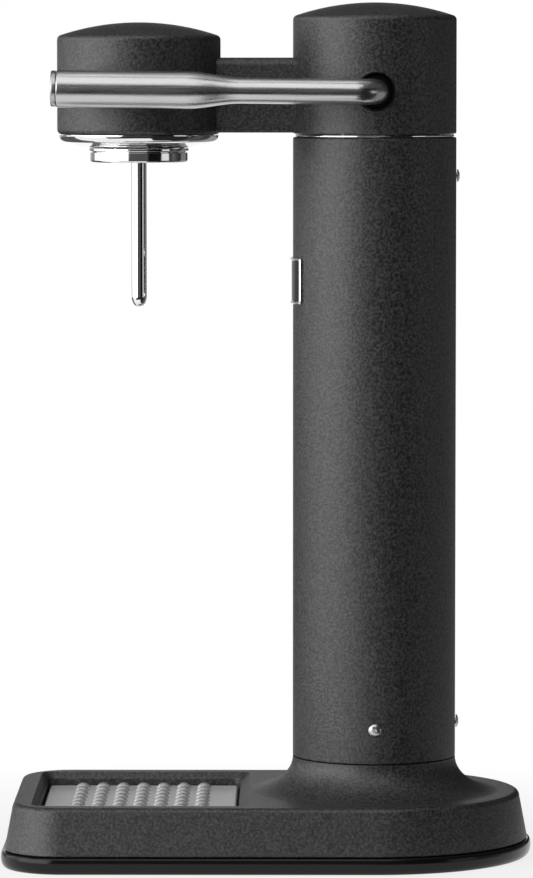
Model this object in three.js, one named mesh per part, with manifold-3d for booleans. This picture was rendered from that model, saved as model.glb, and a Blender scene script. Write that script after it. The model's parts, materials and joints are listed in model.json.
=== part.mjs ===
// A lever operated sparkling water maker: a slim round column on a cast base, a dumbbell shaped
// head with a nozzle over the bottle, and a gas cylinder standing inside the column.
// Millimetres, +Z up. The front, where the bottle stands, is -X, and the lever is on the -Y side.
// The origin is the middle of the footprint, on the surface that the machine stands on.

import * as THREE from 'three';
import { mergeVertices } from 'three/addons/utils/BufferGeometryUtils.js';
import Module from 'manifold-3d';

const wasm = await Module();
wasm.setup();

// Clearances and counts that every piece shares
const fit = 0.3;
const runningFit = 0.15;
const overrun = 6;
const mainSides = 36;
const collarSides = 28;
const innerSides = 16;
const smallSides = 16;
const pipeSides = 10;
const screwSides = 8;
const hexSides = 6;
const wireSides = 5;
const coilSteps = 8;
const cornerSteps = 5;
const edgeSteps = 3;

// Column
const columnRadius = 39.5;
const columnWall = 3;
const columnLength = 300.8;

// Base casting and its foot
const footRadius = 76.5;
const frontReach = 179.5;
const footCornerRadius = 30;
const footHeight = 8;
const footLip = 1.9;
const footWidth = 7;
const footLedge = 3;
const footLedgeThickness = 3;
const baseHeight = 31.2;
const baseDraft = 3.7;
const baseEdgeRadius = 2.8;
const baseWall = 4;
const flareRadius = 64;
const flareHeight = 16.6;
const flareSink = 0.15;
const flareSteps = 6;
const spigotLength = 28;
const socketWall = 6;
const ribThickness = 3;
const ribSpacing = 44;

// Drip recess in the base, and the plate that lies in it
const recessFrontMargin = 17.9;
const recessFlareGap = 1.4;
const recessSideMargin = 18.5;
const recessChamfer = 3;
const recessRearChamfer = 4.6;
const recessDepth = 11.2;
const recessCornerRadius = 3.5;
const plateFrontGap = 1.4;
const plateRearGap = 1.6;
const plateSideGap = 1.5;
const plateHeight = 5;
const plateSheet = 1.2;
const plateCornerRadius = 2.5;
const domeRadius = 3.6;
const domeRise = 2.4;
const domeEndMargin = 16.6;
const domeSideMargin = 7.3;
const domeColumns = 7;
const domeRows = 9;
const domeSides = 6;

// Underside plate
const bottomPlateThickness = 2;
const bottomScrewInset = 17;
const bottomBossRadius = 5;

// Head: the housing over the column, the drum over the bottle and the bridge between
const headSeam = 1.7;
const headHeight = 63.2;
const domeHeight = 6.7;
const domeEdgeRadius = 2.5;
const domeSteps = 4;
const drumReach = 114;
const drumRise = 0.6;
const drumHeight = 53;
const headWall = 3;
const ceilingThickness = 4.4;
const bridgeHalfWidth = 12.4;
const bridgeTopDrop = 17;
const bridgeEdgeRadius = 4;
const bridgeWall = 3.6;
const headBossRadius = 4;
const headBossHeight = 12;
const headBossAngles = [0, 120, 240];

// Carrier plate that closes the column and holds the head
const carrierThickness = 7.6;
const carrierSkirt = 23;
const carrierWall = 2.8;
const carrierScrewGap = 0.4;

// Trim ring in the seam under the head
const trimInset = 0.8;
const trimWidth = 5.2;

// Button head screws
const screwHeadRadius = 3.2;
const screwHeadHeight = 1.3;
const screwShankRadius = 1.5;
const screwLength = 9;
const screwHoleRadius = 1.8;
const screwSocketRadius = 1.15;
const screwSocketDepth = 0.8;
const screwCrownShares = [0.766, 0.866];
const lowerScrewRise = 16.9;
const upperScrewDrop = 18.6;

// Badge on the column front
const badgeHeight = 22.4;
const badgeDrop = 69.1;
const badgeHalfAngle = 27.5;
const badgeProud = 0.95;
const badgeBar = 1.4;
const badgePlateProud = 0.35;
const badgeSides = 14;

// Lever, turning about a cross axle over the column axis
const pivotRise = 20.5;
const leverTravel = 40;
const leverTilt = 0.6;
const leverClearance = 11;
const leverRodRadius = 6.2;
const leverElbowRadius = 10;
const leverInnerGap = 2.1;
const gripMaxRadius = 9.1;
const gripFrontRadius = 9;
const gripFront = 151.6;
const gripRear = 91;
const taperEnd = 64;
const taperSteps = 8;
const endCapStep = 0.4;
const endCapLength = 2.7;
const endCapEdge = 0.8;
const endCapPlugRadius = 5.7;
const endCapPlugLength = 6;
const leverHoleGap = 1.2;
const hubWall = 2;
const hubLength = 7;
const hubScrewRadius = 1.2;

// Axle, bushes, bracket and clip
const axleRadius = 4;
const axleSocketDepth = 11;
const cheekGap = 0.5;
const cheekThickness = 2.5;
const cheekMargin = 3;
const webGap = 3.5;
const webThickness = 2.2;
const webRise = 6.3;
const webDrop = 10.7;
const bracketFootLength = 8.5;
const bracketFootHalfLength = 9;
const bushWall = 2;
const bushFlangeWidth = 1.5;
const bushFlangeThickness = 1.1;
const bushTail = 0.5;
const clipThickness = 0.8;
const clipWidth = 3;

// Cam, push pin and springs
const camBaseRadius = 7.5;
const camHalfWidth = 4;
const camLead = 10;
const camOverTravel = 8;
const camSteps = 12;
const pinTravel = 3;
const pinRadius = 1.8;
const pinHeadRadius = 4.8;
const pinHeadHeight = 2;
const pinSpringRadius = 3.6;
const pinSpringWire = 0.35;
const pinSpringTurns = 3;
const returnSpringRadius = 6.4;
const returnSpringWire = 0.75;
const returnSpringTurns = 5;
const returnSpringPitch = 1.9;
const returnSpringLeg = 7;

// Valve block, gas cylinder and its valve
const blockRadius = 16.5;
const blockHeight = 10.7;
const blockSpigotWall = 3.2;
const blockSpigotDrop = 6;
const springWellRadius = 5.4;
const springWellDepth = 4.5;
const blockWeb = 2.1;
const gasketThickness = 1.5;
const gasketHoleRadius = 3;
const valveThreadRadius = 10.5;
const valveCollarRadius = 12.5;
const valveCollarHeight = 7;
const valvePlugRadius = 7.7;
const valvePlugLength = 14;
const valvePinHoleRadius = 3.3;
const valvePinHoleDepth = 10;
const ringNutWall = 5;
const ringNutHeight = 4.2;
const portRadius = 4;
const portLength = 3.6;
const portRoot = 3;
const portDrop = 4;
const gasCylinderRadius = 30;
const gasCylinderClearance = 2;
const gasCylinderLength = 320.2;
const gasCylinderWall = 3;
const gasCylinderShoulderDrop = 44.4;
const gasCylinderNeckRadius = 13;
const gasCylinderNeckHeight = 8;
const gasCylinderFootRadius = 7;

// Gas pipe through the bridge
const pipeRadius = 2;
const pipeNutRadius = 5;
const pipeNutLength = 5.2;
const pipeSteps = 14;
const pipeEntry = 2.2;

// Drum plate, bottle collar, nozzle block and nozzle
const plateBeadInset = 1;
const plateBeadWidth = 2.9;
const plateDishRise = 2.6;
const plateDishDepth = 7.3;
const plateThickness = 3;
const plateRingHeight = 5.4;
const plateRingWall = 2.5;
const collarRadius = 24;
const collarBoreRadius = 17;
const collarHeight = 6.8;
const collarLip = 1.4;
const collarLipWidth = 0.47;
const collarGroove = 0.7;
const collarGrooveDepth = 0.9;
const collarEdge = 1.1;
const collarLugDepth = 2;
const collarLugHeight = 1.8;
const collarLugHalfAngle = 16;
const collarLugAngles = [60, 180, 300];
const collarScrewAngles = [0, 120, 240];
const collarScrewHeadRadius = 2.3;
const collarScrewHeadHeight = 1.2;
const collarScrewShankRadius = 1.2;
const collarScrewLength = 8.6;
const nozzleBlockWall = 3.5;
const nozzleFlangeWidth = 5.5;
const nozzleFlangeHeight = 2.5;
const neckSocketHeight = 14.1;
const nozzleRoof = 8;
const nozzleBossRadius = 8;
const nozzleBossHeight = 12;
const nozzlePortLength = 6;
const nozzlePortRise = 6.5;
const bottleGasketGap = 0.5;
const bottleGasketThickness = 2;
const nozzleRadius = 3.65;
const nozzleBoreRadius = 1.2;
const nozzleLength = 102.3;
const nozzleSeatDepth = 7.5;
const nozzleTipLength = 5;
const reliefRadius = 5;
const reliefHeight = 8;
const reliefHexHeight = 4.8;
const reliefNoseRadius = 3;
const reliefStemRadius = 2.2;
const reliefStemLength = 4;

// Plan of the machine, from the column's axis
const columnX = (frontReach - footRadius) / 2;
const frontX = -frontReach;
const columnBore = columnRadius - columnWall;
const spigotRadius = columnBore - fit;
const boreRadius = gasCylinderRadius + gasCylinderClearance;
const socketRadius = boreRadius + socketWall;
const recessFront = frontReach - recessFrontMargin;
const recessRear = flareRadius + recessFlareGap;
const recessHalfWidth = footRadius - recessSideMargin;
const plateFront = recessFront - plateFrontGap;
const plateRear = recessRear + plateRearGap;
const plateHalfWidth = recessHalfWidth - plateSideGap;
const domePitchX = (plateFront - plateRear - 2 * domeEndMargin) / (domeColumns - 1);
const domePitchY = (2 * (plateHalfWidth - domeSideMargin)) / (domeRows - 1);
const carrierSkirtBore = spigotRadius - carrierWall;
const headBossReach = carrierSkirtBore - screwHeadRadius - carrierScrewGap;
const trimOuterRadius = columnRadius - trimInset;
const plateBeadRadius = columnRadius - plateBeadInset;
const plateDishRadius = plateBeadRadius - plateBeadWidth;
const collarScrewReach = (collarBoreRadius + collarRadius) / 2;
const nozzleBlockRadius = collarBoreRadius + nozzleBlockWall;
const nozzleFlangeRadius = nozzleBlockRadius + nozzleFlangeWidth;
const nozzlePortTip = nozzleBossRadius + nozzlePortLength;
const blockSpigotRadius = valveThreadRadius + fit + blockSpigotWall;
const leverOffset = columnRadius + leverClearance;
const hubRadius = leverRodRadius + hubWall;
const bushRadius = axleRadius + bushWall;
const cheekInner = blockRadius + cheekGap;
const bushEnd = cheekInner + cheekThickness + fit + bushFlangeThickness;
const leverInnerEnd = bushEnd + leverInnerGap;

// Heights, each from what carries it
const recessFloor = baseHeight - recessDepth;
const plateTop = recessFloor + plateHeight;
const bottomPlateTop = footHeight - footLedgeThickness - fit;
const bottomPlateFace = bottomPlateTop - bottomPlateThickness;
const columnFoot = baseHeight + flareHeight;
const columnTop = columnFoot + columnLength;
const lowerScrewHeight = columnFoot + lowerScrewRise;
const upperScrewHeight = columnTop - upperScrewDrop;
const badgeCentre = columnTop - badgeDrop;
const carrierBottom = columnTop - carrierThickness;
const headBottom = columnTop + headSeam;
const headTop = headBottom + headHeight;
const drumBottom = headBottom + drumRise;
const drumTop = drumBottom + drumHeight;
const bridgeTop = drumTop - bridgeTopDrop;
const pivotHeight = headBottom + pivotRise;
const bracketFoot = columnTop + fit;
const blockTop = bracketFoot + blockHeight;
const blockSpigotBottom = carrierBottom - blockSpigotDrop;
const springWellFloor = blockTop - springWellDepth;
const portHeight = blockTop - portDrop;
const cylinderValveTop = springWellFloor - blockWeb - 2 * fit - gasketThickness;
const neckTop = blockSpigotBottom - fit - valveCollarHeight - fit;
const neckFoot = neckTop - gasCylinderNeckHeight;
const gasCylinderBottom = neckTop - gasCylinderLength;
const gasCylinderShoulder = neckTop - gasCylinderShoulderDrop;
const camRise = pinTravel / THREE.MathUtils.degToRad(leverTravel);
const pinHeadTop = pivotHeight - camBaseRadius - fit;
const plateFace = drumBottom - plateDishDepth;
const collarTop = plateFace - fit;
const collarBottom = collarTop - collarHeight;
const nozzleBlockFoot = plateFace + plateThickness + fit;
const neckSocketTop = nozzleBlockFoot + neckSocketHeight;
const nozzleShoulder = neckSocketTop + nozzleRoof;
const nozzleBossTop = nozzleShoulder + nozzleBossHeight;
const nozzleTop = neckSocketTop + nozzleSeatDepth;
const nozzleTip = nozzleTop - nozzleLength;
const nozzlePortHeight = nozzleShoulder + nozzlePortRise;

// Colours and finishes
const blackPaint = { color: 0x2c2c2d, roughness: 0.85, metalness: 0 };
const blackGloss = { color: 0x0b0b0c, roughness: 0.15, metalness: 0 };
const polished = { color: 0xd8d9da, roughness: 0.08, metalness: 1 };
const satinSteel = { color: 0xb9babb, roughness: 0.32, metalness: 1 };
const screwSteel = { color: 0xa5a6a8, roughness: 0.3, metalness: 1 };
const plainSteel = { color: 0x8d8f92, roughness: 0.45, metalness: 1 };
const brass = { color: 0xb8914a, roughness: 0.35, metalness: 1 };
const blackRubber = { color: 0x151515, roughness: 0.8, metalness: 0 };
const greyPlastic = { color: 0x3a3b3d, roughness: 0.6, metalness: 0 };
const greyEnamel = { color: 0x9a9da0, roughness: 0.5, metalness: 0 };

const toRadians = THREE.MathUtils.degToRad;

// The volume inside a closed mesh, negative where its faces point inwards
function enclosedVolume(places, corners) {
  const [a, b, c] = [new THREE.Vector3(), new THREE.Vector3(), new THREE.Vector3()];
  let total = 0;
  for (let i = 0; i < corners.length; i += 3) {
    a.fromArray(places, 3 * corners[i]);
    b.fromArray(places, 3 * corners[i + 1]);
    c.fromArray(places, 3 * corners[i + 2]);
    total += a.dot(b.cross(c)) / 6;
  }
  return total;
}

// A closed geometry as a solid that can be joined and cut
function solid(geometry) {
  geometry.deleteAttribute('normal');
  geometry.deleteAttribute('uv');
  const merged = mergeVertices(geometry);
  const places = merged.getAttribute('position').array;
  const found = merged.index.array;
  const corners = [];
  for (let i = 0; i < found.length; i += 3) {
    const [a, b, c] = [found[i], found[i + 1], found[i + 2]];
    if (a !== b && b !== c && c !== a) corners.push(a, b, c);
  }
  if (enclosedVolume(places, corners) < 0) corners.reverse();
  const vertProperties = Float32Array.from(places);
  const triVerts = Uint32Array.from(corners);
  return new wasm.Manifold(new wasm.Mesh({ numProp: 3, vertProperties, triVerts }));
}

// A profile of [radius, height] points turned about the Z axis
function turned(profile, sides = mainSides) {
  const points = profile.map(([radius, height]) => new THREE.Vector2(radius, height));
  return solid(new THREE.LatheGeometry(points, sides).rotateX(Math.PI / 2));
}

// A ring: a closed section turned about the Z axis
function turnedRing(section, sides = mainSides) {
  return turned([...section, section[0]], sides);
}

// A plain ring between two radii and two heights
function washer(inner, outer, bottom, top, sides = mainSides) {
  return turnedRing([[inner, bottom], [outer, bottom], [outer, top], [inner, top]], sides);
}

// A round bar between two points
function bar(start, end, radius, sides = smallSides) {
  const from = new THREE.Vector3(...start);
  const along = new THREE.Vector3(...end).sub(from);
  const shape = new THREE.CylinderGeometry(radius, radius, along.length(), sides);
  const turn = new THREE.Quaternion();
  turn.setFromUnitVectors(new THREE.Vector3(0, 1, 0), along.clone().normalize());
  shape.applyQuaternion(turn);
  const middle = from.addScaledVector(along, 1 / 2);
  return solid(shape.translate(middle.x, middle.y, middle.z));
}

// A box between two corners
function block(low, high) {
  const [x, y, z] = high.map((value, i) => value - low[i]);
  const shape = new THREE.BoxGeometry(x, y, z);
  return solid(shape.translate(low[0] + x / 2, low[1] + y / 2, low[2] + z / 2));
}

// Equal convex loops of points joined in order; an open run is capped, a closed one meets itself
function lofted(loops, closed = false) {
  const count = loops[0].length;
  const corners = [];
  const joins = closed ? loops.length : loops.length - 1;
  for (let i = 0; i < joins; i += 1) {
    const here = i * count;
    const there = ((i + 1) % loops.length) * count;
    for (let j = 0; j < count; j += 1) {
      const k = (j + 1) % count;
      corners.push(here + j, here + k, there + k, here + j, there + k, there + j);
    }
  }
  const last = (loops.length - 1) * count;
  for (let j = 1; !closed && j < count - 1; j += 1) {
    corners.push(0, j + 1, j, last, last + j, last + j + 1);
  }
  const shape = new THREE.BufferGeometry();
  shape.setAttribute('position', new THREE.Float32BufferAttribute(loops.flat(2), 3));
  shape.setIndex(corners);
  return solid(shape);
}

// A round rod of changing radius through a list of points; across is square to the whole path
function rod(points, radii, across, sides) {
  const side = new THREE.Vector3(...across);
  const path = points.map((point) => new THREE.Vector3(...point));
  const loops = path.map((centre, i) => {
    const before = path[Math.max(i - 1, 0)];
    const after = path[Math.min(i + 1, path.length - 1)];
    const along = after.clone().sub(before).normalize();
    const lift = side.clone().cross(along).normalize();
    const flat = along.clone().cross(lift);
    const radius = Array.isArray(radii) ? radii[i] : radii;
    return arcPoints(0, 0, radius, 0, 360, sides).slice(1).map(([u, v]) => (
      centre.clone().addScaledVector(lift, u).addScaledVector(flat, v).toArray()));
  });
  return lofted(loops);
}

// Points on an arc in a plane, both ends included, angles in degrees
function arcPoints(x, y, radius, from, to, steps) {
  return Array.from({ length: steps + 1 }, (_, i) => {
    const angle = toRadians(from + ((to - from) * i) / steps);
    return [x + radius * Math.cos(angle), y + radius * Math.sin(angle)];
  });
}

// The footprint at one height, moved in from the outer edge of the foot
function footprint(inset, height) {
  const corner = footCornerRadius - inset;
  const cornerX = frontX + footCornerRadius;
  const cornerY = footRadius - footCornerRadius;
  const outline = [
    ...arcPoints(0, 0, footRadius - inset, -90, 90, mainSides / 2),
    ...arcPoints(cornerX, cornerY, corner, 90, 180, cornerSteps),
    ...arcPoints(cornerX, -cornerY, corner, 180, 270, cornerSteps),
  ];
  return outline.map(([x, y]) => [x, y, height]);
}

// A rectangle with round corners at one height
function roundedRectangle(front, rear, halfWidth, radius, height) {
  const [x0, x1, y] = [front + radius, rear - radius, halfWidth - radius];
  const outline = [
    ...arcPoints(x1, y, radius, 0, 90, edgeSteps),
    ...arcPoints(x0, y, radius, 90, 180, edgeSteps),
    ...arcPoints(x0, -y, radius, 180, 270, edgeSteps),
    ...arcPoints(x1, -y, radius, 270, 360, edgeSteps),
  ];
  return outline.map(([across, along]) => [across, along, height]);
}

// A slice of a ring, used for what wraps part of the way round a cylinder
function ringSlice(inner, outer, facing, halfAngle, bottom, top, sides) {
  const near = arcPoints(0, 0, outer, facing - halfAngle, facing + halfAngle, sides);
  const far = arcPoints(0, 0, inner, facing + halfAngle, facing - halfAngle, sides);
  const shape = new THREE.Shape([...near, ...far].map(([x, y]) => new THREE.Vector2(x, y)));
  const body = new THREE.ExtrudeGeometry(shape, { depth: top - bottom, bevelEnabled: false });
  return solid(body.translate(0, 0, bottom));
}

function joined(solids) {
  return solids.reduce((whole, next) => whole.add(next));
}

function without(whole, cuts) {
  return whole.subtract(joined(cuts));
}

// A point on a circle about the Z axis
function onCircle(radius, angle, height) {
  return [radius * Math.cos(toRadians(angle)), radius * Math.sin(toRadians(angle)), height];
}

// One named piece of the machine
function piece(name, shape, finish) {
  const made = shape.getMesh();
  const geometry = new THREE.BufferGeometry();
  geometry.setAttribute('position', new THREE.Float32BufferAttribute(made.vertProperties, 3));
  geometry.setIndex([...made.triVerts]);
  geometry.computeVertexNormals();
  const mesh = new THREE.Mesh(geometry, new THREE.MeshStandardMaterial(finish));
  mesh.name = name;
  return mesh;
}

// A button head screw with its seat at the origin and its shank along -Z
function buttonScrew(length = screwLength, head = screwHeadRadius, rise = screwHeadHeight,
  shank = screwShankRadius) {
  const body = turned([
    [0, -length], [shank, -length], [shank, 0], [head, 0],
    [head * screwCrownShares[0], rise * screwCrownShares[1]], [0, rise],
  ], screwSides);
  const socket = bar([0, 0, rise - screwSocketDepth], [0, 0, rise + overrun], screwSocketRadius,
    hexSides);
  return body.subtract(socket);
}

// A screw as a named piece, its seat at a place and its head facing out
function placedScrew(name, place, outwards, shape = buttonScrew()) {
  const mesh = piece(name, shape, screwSteel);
  mesh.position.set(...place);
  mesh.quaternion.setFromUnitVectors(new THREE.Vector3(0, 0, 1), new THREE.Vector3(...outwards));
  return mesh;
}

// Foot ring: a moulded skirt that follows the footprint, with a ledge the bottom plate clamps
const footOutlineShares = [[0.55, 0], [0.1, 0.12], [0, 0.3], [0.1, 0.62], [0.4, 0.88], [1, 1]];

function footRing() {
  const outside = footOutlineShares.map(([x, z]) => footprint(x * footLip, z * footHeight));
  const inside = [
    footprint(footWidth + footLedge, footHeight),
    footprint(footWidth + footLedge, footHeight - footLedgeThickness),
    footprint(footWidth, footHeight - footLedgeThickness),
    footprint(footWidth, 0),
  ];
  return lofted([...outside, ...inside], true);
}

// Places of the four screws under the base, each the same way in from the edge of the foot
function bottomScrewPlaces() {
  const corner = footCornerRadius - bottomScrewInset;
  const cornerX = frontX + footCornerRadius;
  const cornerY = footRadius - footCornerRadius;
  const rear = footRadius - bottomScrewInset;
  return [-1, 1].flatMap((side) => {
    const [x, y] = onCircle(corner, side * 135, 0);
    return [[cornerX + x, side * cornerY + y], onCircle(rear, side * 45, 0).slice(0, 2)];
  });
}

function bottomPlate() {
  const inset = footWidth + fit;
  const sheet = lofted([footprint(inset, bottomPlateFace), footprint(inset, bottomPlateTop)]);
  const low = bottomPlateFace - overrun;
  const high = bottomPlateTop + overrun;
  const screwHoles = bottomScrewPlaces().map(([x, y]) => (
    bar([x, y, low], [x, y, high], screwHoleRadius, screwSides)));
  return without(sheet, [bar([0, 0, low], [0, 0, high], boreRadius, mainSides), ...screwHoles]);
}

// The casting as a full block: drafted walls, a rounded top edge, the flare and the spigot
function baseBlock() {
  const wallInset = footLip;
  const topInset = footLip + baseDraft;
  const edgeFoot = baseHeight - baseEdgeRadius;
  const edge = arcPoints(topInset + baseEdgeRadius, edgeFoot, baseEdgeRadius, 180, 90, edgeSteps);
  const walls = lofted([
    footprint(wallInset, footHeight + fit),
    ...edge.map(([inset, height]) => footprint(inset, height)),
  ]);
  const rise = columnFoot - baseHeight + flareSink;
  const spread = flareRadius - columnRadius;
  const flare = arcPoints(0, 0, 1, 90, 0, flareSteps).map(([across, up]) => (
    [flareRadius - spread * across, columnFoot - rise * up]));
  const root = baseHeight - baseWall;
  const spigotTop = columnFoot + spigotLength;
  const neck = turned([
    [0, root], [flareRadius, root], ...flare,
    [spigotRadius, columnFoot], [spigotRadius, spigotTop], [0, spigotTop],
  ]);
  return walls.add(neck);
}

// The hollow under the casting, with the socket, basin, ribs and screw bosses left standing
function baseHollow() {
  const inset = footLip + baseWall;
  const roof = baseHeight - baseWall;
  const space = lofted([
    footprint(inset, footHeight - overrun), footprint(inset, footHeight),
    footprint(inset + baseDraft, roof),
  ]);
  const low = bottomPlateTop + fit;
  const basinFloor = recessFloor - baseWall;
  const basin = lofted([basinFloor, baseHeight].map((height) => roundedRectangle(
    -recessFront - baseWall, -recessRear + baseWall, recessHalfWidth + baseWall, baseWall, height)));
  const socket = bar([0, 0, low], [0, 0, baseHeight], socketRadius, mainSides);
  const ribFoot = footHeight + fit;
  const ribs = [-ribSpacing / 2, ribSpacing / 2].map((y) => block(
    [frontX + footLip, y - ribThickness / 2, ribFoot], [0, y + ribThickness / 2, baseHeight]));
  const rearRib = block([0, -ribThickness / 2, ribFoot], [footRadius, ribThickness / 2, baseHeight]);
  const bosses = bottomScrewPlaces().map(([x, y]) => (
    bar([x, y, low], [x, y, baseHeight], bottomBossRadius, screwSides)));
  return { space: without(space, [basin, socket, rearRib, ...ribs, ...bosses]), bosses, socket };
}

// The recess for the drip plate: a chamfered mouth over a straight pocket
function dripRecess() {
  const pocket = (height) => roundedRectangle(
    -recessFront, -recessRear, recessHalfWidth, recessCornerRadius, height);
  const mouth = (height) => roundedRectangle(
    -recessFront - recessChamfer, -recessRear + recessRearChamfer, recessHalfWidth + recessChamfer,
    recessCornerRadius + recessChamfer, height);
  return lofted([
    pocket(recessFloor), pocket(baseHeight - recessChamfer),
    mouth(baseHeight), mouth(baseHeight + overrun),
  ]);
}

// Radial screws through the foot of the column, by the angle that each one faces
const lowerScrewAngles = { side_screw_near: -90, side_screw_far: 90, rear_screw_lower: 0 };

function radialHole(angle, height, radius) {
  return bar([0, 0, height], onCircle(columnRadius + overrun, angle, height), radius, screwSides);
}

function baseShell() {
  const { space, bosses, socket } = baseHollow();
  const bore = bar([0, 0, 0], [0, 0, columnFoot + spigotLength + overrun], boreRadius, mainSides);
  const threads = bottomScrewPlaces().map(([x, y]) => bar(
    [x, y, 0], [x, y, bottomPlateFace + screwLength], screwHoleRadius, screwSides));
  const screws = Object.values(lowerScrewAngles).map((angle) => (
    radialHole(angle, lowerScrewHeight, screwHoleRadius)));
  const body = without(baseBlock(), [space]).add(joined([socket, ...bosses]));
  return without(body.subtract(dripRecess()), [bore, ...threads, ...screws]);
}

// Drip plate: pressed sheet with a turned down rim and rows of raised domes
function dripPlate() {
  const rimFoot = recessFloor + fit;
  const under = plateTop - plateSheet;
  const outline = (inset, height) => roundedRectangle(-plateFront + inset, -plateRear - inset,
    plateHalfWidth - inset, plateCornerRadius - inset / 2, height);
  const outside = lofted([outline(0, rimFoot), outline(0, plateTop)]);
  const inside = lofted([outline(plateSheet, rimFoot - overrun), outline(plateSheet, under)]);
  const dome = turned([
    [0, (under + plateTop) / 2], [domeRadius, (under + plateTop) / 2], [domeRadius, plateTop],
    [domeRadius * Math.cos(toRadians(45)), plateTop + domeRise * Math.sin(toRadians(45))],
    [0, plateTop + domeRise],
  ], domeSides);
  const middle = -(plateFront + plateRear) / 2;
  let plate = outside.subtract(inside);
  for (let i = 0; i < domeColumns; i += 1) {
    for (let j = 0; j < domeRows; j += 1) {
      const x = middle + (i - (domeColumns - 1) / 2) * domePitchX;
      const y = (j - (domeRows - 1) / 2) * domePitchY;
      plate = plate.add(dome.translate([x, y, 0]));
    }
  }
  return plate;
}

function columnTube() {
  const tube = washer(columnBore, columnRadius, columnFoot + fit, columnTop);
  const holes = Object.values(lowerScrewAngles).map((angle) => (
    radialHole(angle, lowerScrewHeight, screwHoleRadius)));
  return without(tube, [...holes, radialHole(0, upperScrewHeight, screwHoleRadius)]);
}

// Badge: a frame and a blank plate, both wrapped round the column front
function badgeSlice(inner, outer, inset) {
  const angle = badgeHalfAngle - THREE.MathUtils.radToDeg(inset / columnRadius);
  const half = badgeHeight / 2 - inset;
  return ringSlice(inner, outer, 180, angle, badgeCentre - half, badgeCentre + half, badgeSides);
}

function badgeFrame() {
  const back = columnRadius + fit;
  const frame = badgeSlice(back, back + badgeProud, 0);
  return frame.subtract(badgeSlice(back - overrun, back + overrun, badgeBar));
}

function badgePlate() {
  const back = columnRadius + fit;
  return badgeSlice(back, back + badgePlateProud, badgeBar + fit);
}

// Carrier: closes the column, holds the valve block and bracket, and takes the head's screws
function headCarrier() {
  const body = turnedRing([
    [blockSpigotRadius + fit, carrierBottom], [carrierSkirtBore, carrierBottom],
    [carrierSkirtBore, carrierBottom - carrierSkirt], [spigotRadius, carrierBottom - carrierSkirt],
    [spigotRadius, columnTop], [blockSpigotRadius + fit, columnTop],
  ]);
  const low = carrierBottom - overrun;
  const high = columnTop + overrun;
  const headHoles = headBossAngles.map((angle) => bar(
    onCircle(headBossReach, angle, low), onCircle(headBossReach, angle, high),
    screwHoleRadius, screwSides));
  const footHoles = bracketScrewPlaces().map(([x, y]) => (
    bar([x, y, low], [x, y, high], screwHoleRadius, screwSides)));
  return without(body, [
    ...headHoles, ...footHoles, radialHole(0, upperScrewHeight, screwHoleRadius)]);
}

function trimRing() {
  return washer(trimOuterRadius - trimWidth, trimOuterRadius, columnTop + fit, headBottom - fit);
}

// The outline of a round head from its axis at the bottom to its axis at the top of its dome
function domedProfile(bottom, edge, peak) {
  const rise = peak - edge;
  const sphere = (columnRadius ** 2 + rise ** 2) / (2 * rise);
  const centre = peak - sphere;
  const reach = columnRadius - domeEdgeRadius;
  const edgeCentre = centre + Math.sqrt((sphere - domeEdgeRadius) ** 2 - reach ** 2);
  const lean = THREE.MathUtils.radToDeg(Math.atan2(edgeCentre - centre, reach));
  return [
    [0, bottom], [columnRadius, bottom],
    ...arcPoints(reach, edgeCentre, domeEdgeRadius, 0, lean, edgeSteps - 1),
    ...arcPoints(0, centre, sphere, lean, 90, domeSteps).slice(1),
  ];
}

// The space inside a round head, under a ceiling that follows its dome
const ceilingBendShares = [0.5, 0.75];

function domedHollow(radius, edge, peak) {
  const low = drumBottom - overrun;
  const top = peak - ceilingThickness;
  const side = edge - ceilingThickness;
  const [bendShare, liftShare] = ceilingBendShares;
  const bend = [radius * bendShare, side + (top - side) * liftShare];
  return turned([[0, low], [radius, low], [radius, side], bend, [0, top]]);
}

// A bar of the bridge's section along X, with round upper edges
function bridgeBar(start, end, halfWidth, bottom, top, edge) {
  const outline = [
    ...arcPoints(halfWidth - edge, top - edge, edge, 0, 90, edgeSteps),
    ...arcPoints(edge - halfWidth, top - edge, edge, 90, 180, edgeSteps),
    [-halfWidth, bottom], [halfWidth, bottom],
  ];
  return lofted([start, end].map((x) => outline.map(([y, z]) => [x, y, z])));
}

// Bosses inside the head for the screws that come up through the carrier
function headBosses() {
  return headBossAngles.map((angle) => {
    const top = headBottom + headBossHeight;
    const boss = bar(onCircle(headBossReach, angle, headBottom), onCircle(headBossReach, angle, top),
      headBossRadius, screwSides);
    const web = block([headBossReach, -headBossRadius / 2, headBottom],
      [columnRadius - headWall / 2, headBossRadius / 2, top]);
    return boss.add(web.rotate([0, 0, angle]));
  });
}

// Head housing: one casting of two domed drums and a hollow bridge, open underneath
function headHousing() {
  const drumEdge = drumTop - domeHeight;
  const headEdge = headTop - domeHeight;
  const head = turned(domedProfile(headBottom, headEdge, headTop));
  const drum = turned(domedProfile(drumBottom, drumEdge, drumTop)).translate([-drumReach, 0, 0]);
  const bridge = bridgeBar(-drumReach, 0, bridgeHalfWidth, drumBottom, bridgeTop, bridgeEdgeRadius);
  const headSpace = domedHollow(columnRadius - headWall, headEdge, headTop);
  const drumSpace = domedHollow(columnRadius - headWall, drumEdge, drumTop)
    .translate([-drumReach, 0, 0]);
  const channel = bridgeBar(-drumReach, 0, bridgeHalfWidth - headWall, drumBottom + bridgeWall,
    bridgeTop - bridgeWall, bridgeEdgeRadius / 2);
  const leverHole = bar([0, -columnRadius - overrun, pivotHeight], [0, 0, pivotHeight],
    hubRadius + leverHoleGap, smallSides);
  const threads = headBossAngles.map((angle) => bar(
    onCircle(headBossReach, angle, headBottom - overrun),
    onCircle(headBossReach, angle, headBottom + screwLength), screwHoleRadius, screwSides));
  const shell = without(joined([head, drum, bridge]), [headSpace, drumSpace, channel]);
  return without(shell.add(joined(headBosses())), [leverHole, ...threads]);
}

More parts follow.
